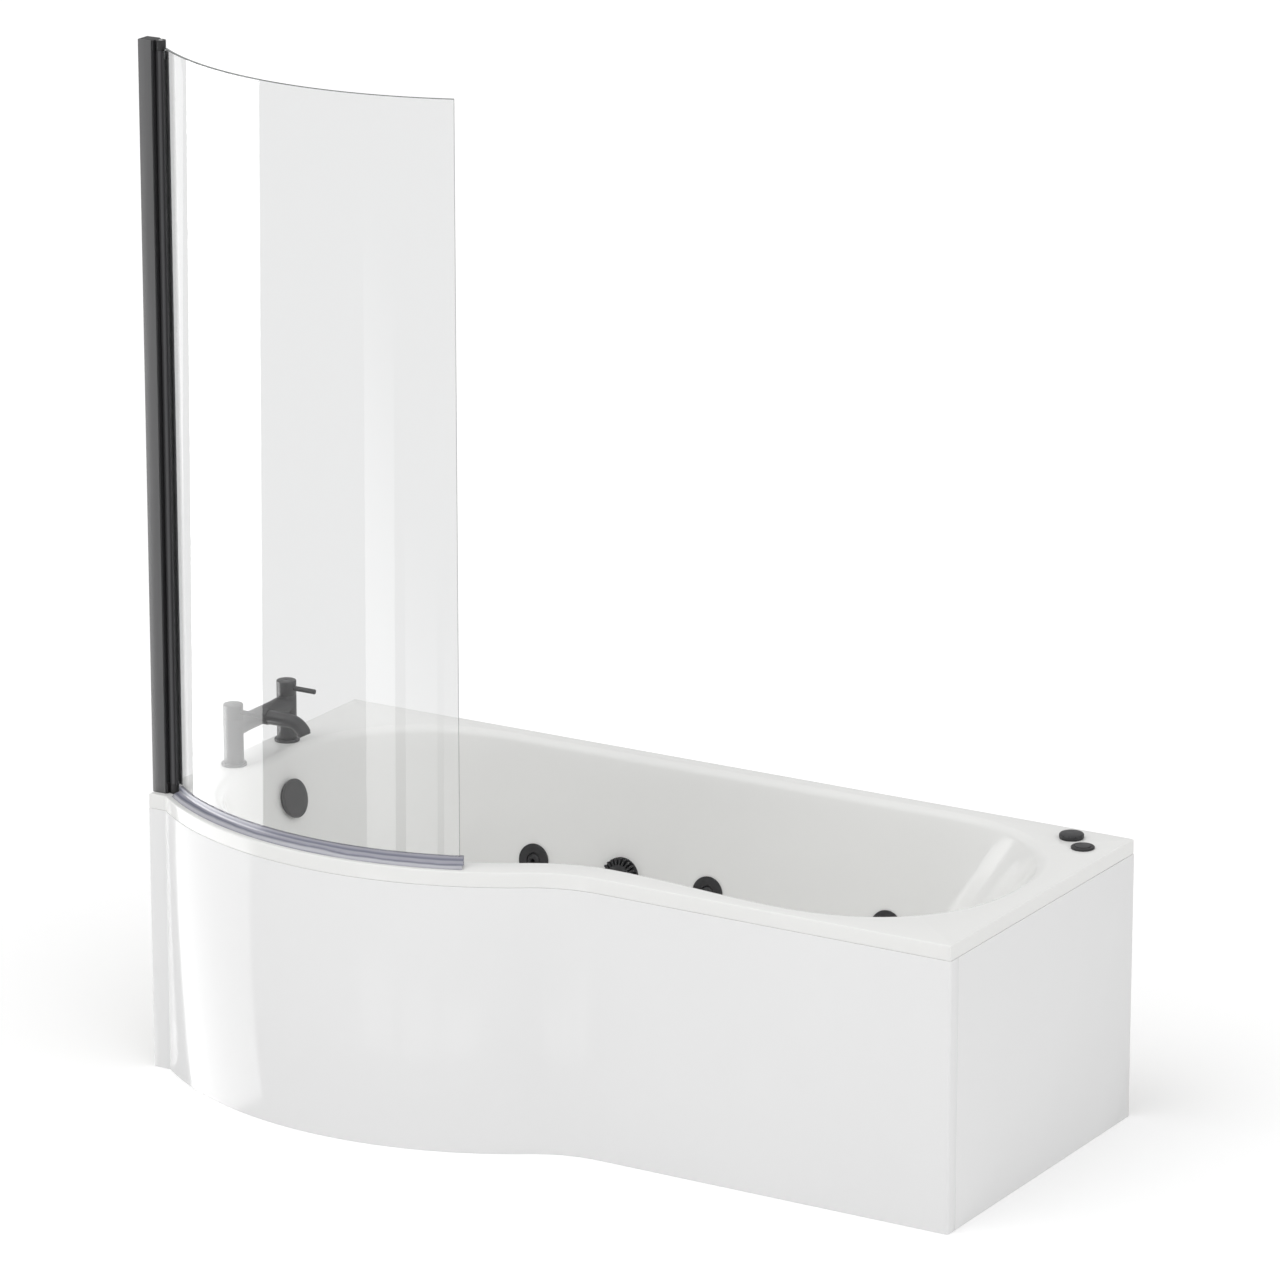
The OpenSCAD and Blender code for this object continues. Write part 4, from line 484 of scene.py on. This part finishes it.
def basinLine(p):
    front, side, back, tap, head, headX = p
    width, cornerX, cornerY = bath["width"], *bath["corner"]
    q, filletX, filletY, turn = filletOf(p)
    halfX = bath["length"] - head - headX
    midY, halfY = (side + width - back) / 2, (width - back - side) / 2
    headPower, cornerPower = 2 / bath["headRound"], 2 / bath["cornerRound"]
    line = []
    for i in range(steps["head"] + 1):
        a = math.pi * (i / steps["head"] - 0.5)
        line.append((headX + halfX * bent(math.cos(a), headPower), midY + halfY * bent(math.sin(a), headPower)))
    line += [(blend(headX, cornerX, i / steps["back"]), width - back) for i in range(1, steps["back"])]
    for i in range(steps["corner"] + 1):
        a = math.pi / 2 * (1 + i / steps["corner"])
        line.append((
            cornerX + (cornerX - tap) * bent(math.cos(a), cornerPower),
            cornerY + (width - back - cornerY) * bent(math.sin(a), cornerPower),
        ))
    line += [(tap, blend(cornerY, filletY, i / steps["tap"])) for i in range(1, steps["tap"])]
    for i in range(steps["fillet"] + 1):
        a = blend(math.pi, turn + 2 * math.pi, i / steps["fillet"])
        line.append((filletX + q * math.cos(a), filletY + q * math.sin(a)))
    for i in range(1, steps["bulge"] + 1):
        line.append(onBulge(bath["bulgeRadius"] - front, blend(turn, meetAngle, i / steps["bulge"])))
    for i in range(1, steps["sweep"] + 1):
        line.append(onSweep(front, blend(meetAngle + math.pi, math.pi / 2, i / steps["sweep"])))
    for i in range(1, steps["front"]):
        t = i / steps["front"]
        line.append((blend(sweepX, headX, t), blend(front, side, eased(t))))
    return line


def kinkX(d):
    return bulgeX - math.sqrt((bath["bulgeRadius"] - d) ** 2 - (bulgeY - d) ** 2)


def kinkAngle(d):
    return math.atan2(d - bulgeY, kinkX(d) - bulgeX)


def rimLine(d):
    width, cornerX, cornerY = bath["width"], *bath["corner"]
    headX, root = edgePlan[headStart], math.sqrt(2)
    _, _, filletY, turn = filletOf(edgePlan)
    halfX, halfY = bath["length"] - d - headX, width / 2 - d
    cornerStep = steps["fillet"] // 2
    line = []
    for i in range(steps["head"] + 1):
        a = math.pi * (i / steps["head"] - 0.5)
        line.append((headX + halfX * clip(root * math.cos(a)), width / 2 + halfY * clip(root * math.sin(a))))
    line += [(blend(headX, cornerX, i / steps["back"]), width - d) for i in range(1, steps["back"])]
    for i in range(steps["corner"] + 1):
        a = math.pi / 2 * (1 + i / steps["corner"])
        line.append((
            cornerX + (cornerX - d) * clip(root * math.cos(a)),
            cornerY + (width - d - cornerY) * clip(root * math.sin(a)),
        ))
    line += [(d, blend(cornerY, filletY, i / steps["tap"])) for i in range(1, steps["tap"])]
    for i in range(steps["fillet"] + 1):
        if i <= cornerStep:
            line.append((d, blend(filletY, d, i / cornerStep)))
        else:
            t = (i - cornerStep - 1) / (steps["fillet"] - cornerStep - 1)
            line.append(onBulge(bath["bulgeRadius"] - d, blend(kinkAngle(d), turn, t)))
    for i in range(1, steps["bulge"] + 1):
        line.append(onBulge(bath["bulgeRadius"] - d, blend(turn, meetAngle, i / steps["bulge"])))
    for i in range(1, steps["sweep"] + 1):
        line.append(onSweep(d, blend(meetAngle + math.pi, math.pi / 2, i / steps["sweep"])))
    line += [(blend(sweepX, headX, i / steps["front"]), d) for i in range(1, steps["front"])]
    return line


# Section of the wall as a smooth curve from the floor to the rim
section = {"dish": 4, "cove": 12, "wall": 10, "edge": 8, "round": 4, "handle": 0.55, "sharp": 28}
floorZ = bath["rimHeight"] - bath["basinDepth"]
wallTop = bath["rimHeight"] - bath["edgeRadius"]
footZ = floorZ + bath["coveRadius"]
wallRun = wallTop - footZ


def inset(along, extra):
    plan = [e + l * along for e, l in zip(edgePlan, leanPlan)]
    return [v + extra for v in plan[:headStart]] + [plan[headStart]]


def cubic(a, b, c, t):
    h = section["handle"]
    p, q = blend(a, b, h), blend(c, b, h)
    return (1 - t) ** 3 * a + 3 * (1 - t) ** 2 * t * p + 3 * (1 - t) * t * t * q + t ** 3 * c


def wallSection(thick):
    coveLean, edgeLean = bath["coveRadius"] / wallRun, bath["edgeRadius"] / wallRun
    rows = []
    for i in range(section["cove"]):
        t = i / section["cove"]
        along = cubic(1 + coveLean, 1 + coveLean, 1, t)
        extra = cubic(bath["coveRadius"], 0, 0, t) - thick * cubic(0, 1, 1, t)
        z = cubic(floorZ - thick, floorZ - thick, footZ, t)
        rows.append((inset(along, extra), z))
    for i in range(section["wall"] + 1):
        t = i / section["wall"]
        rows.append((inset(1 - t, -thick), blend(footZ, wallTop, t)))
    for i in range(1, section["edge"] + 1):
        t = i / section["edge"]
        along = cubic(0, -edgeLean, -edgeLean, t)
        extra = -cubic(0, 0, bath["edgeRadius"], t) - thick * cubic(1, 1, 0, t)
        z = cubic(wallTop, bath["rimHeight"] - thick, bath["rimHeight"] - thick, t)
        rows.append((inset(along, extra), z))
    return rows


def wasteLine(r):
    wasteX, wasteY = bath["waste"]
    line = []
    for x, y in basinLine(wallSection(0)[0][0]):
        a = math.atan2(y - wasteY, x - wasteX)
        line.append((wasteX + r * math.cos(a), wasteY + r * math.sin(a)))
    return line


def shellRings():
    rim, wall, roundOff = bath["rimHeight"], bath["wall"], bath["rimRound"]
    sumpZ = floorZ - bath["dishFall"]
    rings = [(wasteLine(bath["sumpRadius"]), sumpZ)]
    for i in range(1, section["dish"] + 1):
        t = i / section["dish"]
        rings.append((wasteLine(blend(bath["sumpRadius"], bath["dishRadius"], t)), blend(sumpZ, floorZ, eased(t))))
    rings += [(basinLine(p), z) for p, z in wallSection(0)]
    for i in range(section["round"] + 1):
        a = math.pi / 2 * i / section["round"]
        rings.append((rimLine(roundOff * (1 - math.sin(a))), rim - roundOff * (1 - math.cos(a))))
    rings.append((rimLine(0), rim - bath["lipHeight"]))
    under = len(rings)
    rings += [(rimLine(wall), rim - bath["lipHeight"]), (rimLine(wall), rim - wall)]
    rings += [(basinLine(p), z) for p, z in reversed(wallSection(wall))]
    rings += [(wasteLine(bath["dishRadius"]), floorZ - wall), (wasteLine(bath["sumpRadius"]), sumpZ - wall)]
    return rings, under


drill = {"sides": 48, "depth": 0.06}


def cutters():
    holes = bmesh.new()
    sides, depth = drill["sides"], drill["depth"]
    for spot, direction, r in holeList:
        turn = direction.to_track_quat("Z", "X").to_matrix().to_4x4()
        where = Matrix.Translation(spot) @ turn
        bmesh.ops.create_cone(holes, cap_ends=True, segments=sides, radius1=r, radius2=r, depth=depth, matrix=where)
    mesh = bpy.data.meshes.new("holes")
    holes.to_mesh(mesh)
    holes.free()
    return link("holes", mesh)


def insetAt(edge, z):
    return edgePlan[edge] + leanPlan[edge] * (wallTop - z) / wallRun


def wallAxis(edge, heading):
    tilt = math.atan(leanPlan[edge] / wallRun)
    return Vector((math.cos(heading) * math.cos(tilt), math.sin(heading) * math.cos(tilt), math.sin(tilt)))


jets = {"z": 0.31, "backX": (0.46, 0.845, 1.23), "bulgeTurn": (-98, -68), "frontShare": 0.572, "hole": 0.0222}
suction = {"x": 0.655, "hole": 0.0272}
overflow = {"z": 0.453, "hole": 0.0242}


def jetSpots():
    z = jets["z"]
    y = bath["width"] - insetAt(backEdge, z)
    spots = [(place(x, y, z), wallAxis(backEdge, -math.pi / 2)) for x in jets["backX"]]
    for degrees in jets["bulgeTurn"]:
        a = math.radians(degrees)
        x, y = onBulge(bath["bulgeRadius"] - insetAt(frontEdge, z), a)
        spots.append((place(x, y, z), wallAxis(frontEdge, a + math.pi)))
    run, rise = insetAt(headStart, z) - sweepX, insetAt(sideEdge, z) - insetAt(frontEdge, z)
    x = blend(sweepX, edgePlan[headStart], jets["frontShare"])
    y = insetAt(frontEdge, z) + rise * (x - sweepX) / run
    spots.append((place(x, y, z), wallAxis(frontEdge, math.pi / 2 + math.atan2(rise, run))))
    return spots


suctionSpot = place(suction["x"], bath["width"] - insetAt(backEdge, jets["z"]), jets["z"])
suctionAxis = wallAxis(backEdge, -math.pi / 2)
overflowSpot = place(insetAt(tapEdge, overflow["z"]), bath["waste"][1], overflow["z"])
# x, y and radius of the holes in the deck: two for the tap's tails, two for the controls
deckHoles = ((0.036, 0.23, 0.014), (0.036, 0.41, 0.014), (1.6, 0.646, 0.0172), (1.645, 0.604, 0.0172))
holeList = [(spot, axis, jets["hole"]) for spot, axis in jetSpots()]
holeList.append((suctionSpot, suctionAxis, suction["hole"]))
holeList.append((overflowSpot, wallAxis(tapEdge, 0), overflow["hole"]))
holeList += [(place(x, y, bath["rimHeight"]), Vector((0, 0, 1)), r) for x, y, r in deckHoles]


def makeShell():
    rings, under = shellRings()
    count = len(rings[0][0])
    points = [place(x, y, z) for line, z in rings for x, y in line]
    faces = []
    for i in range(len(rings) - 1):
        for j in range(count):
            k = (j + 1) % count
            faces.append((i * count + j, i * count + k, (i + 1) * count + k, (i + 1) * count + j))
    # the waste hole's wall joins the inside to the underside
    last = (len(rings) - 1) * count
    faces += [(last + j, last + (j + 1) % count, (j + 1) % count, j) for j in range(count)]
    shell = link("bathShell", meshFrom("bathShell", points, faces))
    wear(shell, "acrylic")
    shell.data.materials.append(finishes["laminate"])
    layers = [1 if i >= under else 0 for i in range(len(rings) - 1) for j in range(count)] + [0] * count
    shell.data.polygons.foreach_set("material_index", layers)
    tool = cutters()
    cut = shell.modifiers.new("holes", "BOOLEAN")
    cut.object = tool
    cut.solver = "EXACT"
    bake(shell)
    bpy.data.objects.remove(tool)
    smooth(shell.data, section["sharp"])
    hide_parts("bath_shell")
    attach(shell, "bath")
    print("shell:", len(shell.data.polygons), "faces")


makeShell()

panel = {
    "thick": 0.004, "proud": 0.0015, "return": 0.028, "corner": 0.006, "lead": 0.001, "gapUnderLip": 0.0005,
    "ease": 0.0008, "easeOver": 40, "sharp": 30, "bulge": 96, "sweep": 30, "flat": 12, "turn": 10,
}


def frontLine(d, endX):
    line = [(0, -d), (kinkX(-d), -d)]
    turn = kinkAngle(-d)
    for i in range(1, panel["bulge"] + 1):
        line.append(onBulge(bath["bulgeRadius"] + d, blend(turn, meetAngle, i / panel["bulge"])))
    for i in range(1, panel["sweep"] + 1):
        line.append(onSweep(-d, blend(meetAngle + math.pi, math.pi / 2, i / panel["sweep"])))
    line += [(blend(sweepX, endX, i / panel["flat"]), -d) for i in range(1, panel["flat"] + 1)]
    return line


def makeFrontPanel():
    top = bath["rimHeight"] - bath["lipHeight"] - panel["gapUnderLip"]
    edge, r = bath["length"] + panel["proud"], panel["corner"]
    centre = (edge - r, r - panel["proud"])
    arc = [math.pi / 2 * (i / panel["turn"] - 1) for i in range(panel["turn"] + 1)]

    def side(d, radius):
        line = frontLine(d, centre[0] - panel["lead"])
        line += [(centre[0] + radius * math.cos(a), centre[1] + radius * math.sin(a)) for a in arc]
        return line + [(centre[0] + radius, panel["return"] - panel["proud"])]

    plan = side(panel["proud"], r) + side(panel["proud"] - panel["thick"], r - panel["thick"])[::-1]
    count = len(plan)
    half = count // 2
    points = [place(x, y, z) for z in (0, top) for x, y in plan]
    faces = []
    for j in range(count):
        k = (j + 1) % count
        faces.append((j, k, count + k, count + j))
    for j in range(half - 1):
        faces.append((j + 1, j, count - 1 - j, count - 2 - j))
        faces.append((count + j, count + j + 1, 2 * count - 2 - j, 2 * count - 1 - j))
    sheet = link("frontPanel", meshFrom("frontPanel", points, faces))
    wear(sheet, "panel_acrylic")
    easeEdges(sheet, panel["ease"], panel["easeOver"])
    smooth(sheet.data, panel["sharp"])
    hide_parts("front_panel")
    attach(sheet, "bath")


makeFrontPanel()
print("panels made")

screen = {
    "glass": 0.006, "in": 0.03, "endX": 0.728, "hinge": (0.04, 0.028), "start": 0.01, "low": 0.548, "high": 1.956,
    "steps": 96, "ease": 0.0007, "sharp": 25,
}


def makeGlass():
    r = bath["bulgeRadius"] - screen["in"]
    hingeX, hingeY = screen["hinge"]
    start = math.atan2(hingeY - bulgeY, hingeX - bulgeX) + screen["start"] / r
    end = -math.acos((screen["endX"] - bulgeX) / r)
    half, ease, count = screen["glass"] / 2, screen["ease"], screen["steps"]
    # the section across the sheet, its four long edges eased
    outline = [
        (-half, screen["low"] + ease), (-half, screen["high"] - ease), (-half + ease, screen["high"]),
        (half - ease, screen["high"]), (half, screen["high"] - ease), (half, screen["low"] + ease),
        (half - ease, screen["low"]), (-half + ease, screen["low"]),
    ]
    ring = len(outline)
    angles = [blend(start, end, i / count) for i in range(count + 1)]
    points = [place(*onBulge(r + d, a), z) for a in angles for d, z in outline]
    # its two broad sides are clear, its edges ground
    broad = (0, ring // 2)
    faces, edges = [], []
    for i in range(count):
        for k in range(ring):
            m = (k + 1) % ring
            faces.append((i * ring + k, i * ring + m, (i + 1) * ring + m, (i + 1) * ring + k))
            edges.append(0 if k in broad else 1)
    faces += [tuple(reversed(range(ring))), tuple(count * ring + k for k in range(ring))]
    edges += [1, 1]
    sheet = link("screenGlass", meshFrom("screenGlass", points, faces))
    wear(sheet, "glass")
    sheet.data.materials.append(finishes["glass_edge"])
    sheet.data.polygons.foreach_set("material_index", edges)
    smooth(sheet.data, screen["sharp"])
    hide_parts("glass_panel")
    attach(sheet, "screen")


makeGlass()


# Geometry Nodes helpers
def newTree(name, inputs):
    tree = bpy.data.node_groups.new(name, "GeometryNodeTree")
    tree.interface.new_socket(name="Geometry", in_out="INPUT", socket_type="NodeSocketGeometry")
    sockets = {}
    for label, value in inputs.items():
        kind = "NodeSocketInt" if isinstance(value, int) else "NodeSocketFloat"
        sockets[label] = tree.interface.new_socket(name=label, in_out="INPUT", socket_type=kind).identifier
    tree.interface.new_socket(name="Geometry", in_out="OUTPUT", socket_type="NodeSocketGeometry")
    entry = tree.nodes.new("NodeGroupInput")
    return tree, entry, sockets


def endTree(tree, socket, shade):
    realize = tree.nodes.new("GeometryNodeRealizeInstances")
    paint = tree.nodes.new("GeometryNodeSetMaterial")
    paint.inputs["Material"].default_value = shade
    leave = tree.nodes.new("NodeGroupOutput")
    tree.links.new(socket, realize.inputs["Geometry"])
    tree.links.new(realize.outputs["Geometry"], paint.inputs["Geometry"])
    tree.links.new(paint.outputs["Geometry"], leave.inputs["Geometry"])


def runTree(piece, tree, sockets, inputs):
    modifier = piece.modifiers.new(tree.name, "NODES")
    modifier.node_group = tree
    for label, value in inputs.items():
        modifier[sockets[label]] = value
    bake(piece)


def roundedBar(tree, width, height, radius):
    bar = tree.nodes.new("GeometryNodeCurvePrimitiveQuadrilateral")
    tree.links.new(width, bar.inputs["Width"])
    tree.links.new(height, bar.inputs["Height"])
    fillet = tree.nodes.new("GeometryNodeFilletCurve")
    fillet.mode = "POLY"
    fillet.inputs["Count"].default_value = 3
    tree.links.new(bar.outputs["Curve"], fillet.inputs["Curve"])
    tree.links.new(radius, fillet.inputs["Radius"])
    return fillet.outputs["Curve"]


def faceOut(tree, instances, points):
    # stand each instance on its point, its own z along the point's facing
    facing = tree.nodes.new("GeometryNodeInputNamedAttribute")
    facing.data_type = "FLOAT_VECTOR"
    facing.inputs["Name"].default_value = "facing"
    align = tree.nodes.new("FunctionNodeAlignRotationToVector")
    align.axis = "Z"
    tree.links.new(facing.outputs["Attribute"], align.inputs["Vector"])
    spread = tree.nodes.new("GeometryNodeInstanceOnPoints")
    tree.links.new(points, spread.inputs["Points"])
    tree.links.new(instances, spread.inputs["Instance"])
    tree.links.new(align.outputs["Rotation"], spread.inputs["Rotation"])
    return spread.outputs["Instances"]


def pointsPiece(name, spots):
    mesh = meshFrom(name, [spot for spot, _ in spots], [])
    facing = mesh.attributes.new("facing", "FLOAT_VECTOR", "POINT")
    for i, (_, axis) in enumerate(spots):
        facing.data[i].vector = axis
    return link(name, mesh)


bezel = {"Mouth radius": 0.0142, "Ring width": 0.0183, "Ring height": 0.0038, "Edge round": 0.0015, "Around": 64}
# how far a bezel is let into the wall, and the angle that its shading breaks at
bezelFit = {"sunk": 0.0002, "sharp": 40}


def makeBezels():
    tree, entry, sockets = newTree("jetBezels", bezel)
    middle = tree.nodes.new("ShaderNodeMath")
    middle.operation = "MULTIPLY_ADD"
    middle.inputs[1].default_value = 0.5
    tree.links.new(entry.outputs["Ring width"], middle.inputs[0])
    tree.links.new(entry.outputs["Mouth radius"], middle.inputs[2])
    circle = tree.nodes.new("GeometryNodeCurvePrimitiveCircle")
    tree.links.new(entry.outputs["Around"], circle.inputs["Resolution"])
    tree.links.new(middle.outputs[0], circle.inputs["Radius"])
    bar = roundedBar(tree, *[entry.outputs[label] for label in ("Ring width", "Ring height", "Edge round")])
    sweep = tree.nodes.new("GeometryNodeCurveToMesh")
    tree.links.new(circle.outputs["Curve"], sweep.inputs["Curve"])
    tree.links.new(bar, sweep.inputs["Profile Curve"])
    endTree(tree, faceOut(tree, sweep.outputs["Mesh"], entry.outputs["Geometry"]), finishes["black_fitting"])
    height = bezel["Ring height"] / 2 - bezelFit["sunk"]
    ring = pointsPiece("jetBezels", [(spot + axis * height, axis) for spot, axis in jetSpots()])
    runTree(ring, tree, sockets, bezel)
    smooth(ring.data, bezelFit["sharp"])
    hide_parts("jet_bezels")
    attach(ring, "bath")


makeBezels()

grille = {
    "Slots": 24, "Rib ring radius": 0.0305, "Rib length": 0.0125, "Rib width": 0.0042, "Rib height": 0.0115,
    "Rib round": 0.0012,
}
grilleBody = {
    "steps": 72, "sharp": 35, "ribSharp": 40, "ribFoot": 0.002, "merge": 0.00001,
    # radius and height of the core's rings: a flat flange, a waist inside the ribs and a domed middle
    "profile": (
        (0.038, 0), (0.038, 0.002), (0.0373, 0.003), (0.0245, 0.0036), (0.0245, 0.0128), (0.0237, 0.0138),
        (0.017, 0.0149), (0.008, 0.0152),
    ),
}


def makeCover(turn):
    core = bmesh.new()
    count = grilleBody["steps"]
    angles = [2 * math.pi * i / count for i in range(count)]
    rings = []
    for r, z in grilleBody["profile"]:
        rings.append([core.verts.new(turn @ Vector((r * math.cos(a), r * math.sin(a), z))) for a in angles])
    for low, high in zip(rings, rings[1:]):
        for i in range(count):
            k = (i + 1) % count
            core.faces.new((low[i], low[k], high[k], high[i]))
    core.faces.new(list(reversed(rings[0])))
    core.faces.new(rings[-1])
    mesh = bpy.data.meshes.new("suctionGrille")
    core.to_mesh(mesh)
    core.free()
    cover = link("suctionGrille", mesh)
    wear(cover, "black_fitting")
    smooth(mesh, grilleBody["sharp"])
    return cover


def ribTree():
    tree, entry, sockets = newTree("suctionRibs", grille)
    ringLine = tree.nodes.new("GeometryNodeMeshCircle")
    tree.links.new(entry.outputs["Slots"], ringLine.inputs["Vertices"])
    tree.links.new(entry.outputs["Rib ring radius"], ringLine.inputs["Radius"])
    bar = roundedBar(tree, *[entry.outputs[label] for label in ("Rib length", "Rib width", "Rib round")])
    fill = tree.nodes.new("GeometryNodeFillCurve")
    fill.mode = "NGONS"
    tree.links.new(bar, fill.inputs["Curve"])
    lift = tree.nodes.new("GeometryNodeExtrudeMesh")
    tree.links.new(fill.outputs["Mesh"], lift.inputs["Mesh"])
    tree.links.new(entry.outputs["Rib height"], lift.inputs["Offset Scale"])
    # the extrusion leaves its foot open: close it with the same face turned over
    foot = tree.nodes.new("GeometryNodeFlipFaces")
    tree.links.new(fill.outputs["Mesh"], foot.inputs["Mesh"])
    both = tree.nodes.new("GeometryNodeJoinGeometry")
    tree.links.new(lift.outputs["Mesh"], both.inputs["Geometry"])
    tree.links.new(foot.outputs["Mesh"], both.inputs["Geometry"])
    whole = addNode(tree, "GeometryNodeMergeByDistance", Distance=grilleBody["merge"])
    tree.links.new(both.outputs["Geometry"], whole.inputs["Geometry"])
    outward = tree.nodes.new("GeometryNodeInputPosition")
    align = tree.nodes.new("FunctionNodeAlignRotationToVector")
    align.axis = "X"
    align.pivot_axis = "Z"
    tree.links.new(outward.outputs["Position"], align.inputs["Vector"])
    spread = tree.nodes.new("GeometryNodeInstanceOnPoints")
    tree.links.new(ringLine.outputs["Mesh"], spread.inputs["Points"])
    tree.links.new(whole.outputs["Geometry"], spread.inputs["Instance"])
    tree.links.new(align.outputs["Rotation"], spread.inputs["Rotation"])
    endTree(tree, spread.outputs["Instances"], finishes["black_fitting"])
    return tree, sockets


def makeGrille():
    turn = Matrix.Translation(suctionSpot) @ suctionAxis.to_track_quat("Z", "X").to_matrix().to_4x4()
    cover = makeCover(turn)
    ribs = link("suctionRibs", meshFrom("suctionRibs", [(0, 0, 0)], []))
    runTree(ribs, *ribTree(), grille)
    ribs.data.transform(turn @ Matrix.Translation((0, 0, grilleBody["ribFoot"])))
    smooth(ribs.data, grilleBody["ribSharp"])
    for piece in (cover, ribs):
        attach(piece, "bath")
    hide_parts("suction_cover")
    print("ribs:", len(ribs.data.polygons), "faces")


makeGrille()

eases = {
    "end_panel": 0.0008, "wall_profile": 0.0006, "adjust_profile": 0.0005, "pivot_post": 0.0004, "hinge_blocks": 0.0006,
    "tap_body": 0.0008, "tap_spout": 0.0004, "tap_aerator": 0.0003, "tap_handle_hot": 0.001, "tap_handle_cold": 0.001,
    "tap_flanges": 0.0006, "air_control_knob": 0.0006, "air_control_body": 0.0005, "start_button": 0.0006,
    "start_button_body": 0.0006, "overflow_knob": 0.0007, "overflow_body": 0.0005,
    "waste_flange": 0.0005, "waste_plug": 0.0006, "leg_channels": 0.0006, "leg_nuts": 0.0005,
    "foot_pads": 0.0008, "base_board": 0.0012, "rim_battens": 0.001, "panel_rails": 0.001, "pump_base": 0.0012,
    "pump_volute": 0.0012, "pump_motor": 0.0006, "pump_unions": 0.0008, "jet_housings": 0.0008, "jet_locknuts": 0.0008,
    "suction_housing": 0.001, "waste_body": 0.001, "waste_trap": 0.001, "overflow_pipe": 0.0008, "deck_nuts": 0.0008,
    "leg_rods": 0.0005, "water_manifold": 0, "air_manifold": 0, "suction_pipe": 0, "plug_cable": 0, "pneumatic_tube": 0,
    "bottom_seal": 0.0002, "post_bushes": 0.0003, "hinge_pins": 0.0004, "tap_tails": 0.0004,
    "tap_valves": 0.0004, "profile_screws": 0.0003, "glazing_gasket": 0,
}
for i in range(1, 7):
    eases["jet_nozzle_%d" % i] = 0.0004
for node, width in eases.items():
    dress(node, width)
print("solids dressed:", len(eases))
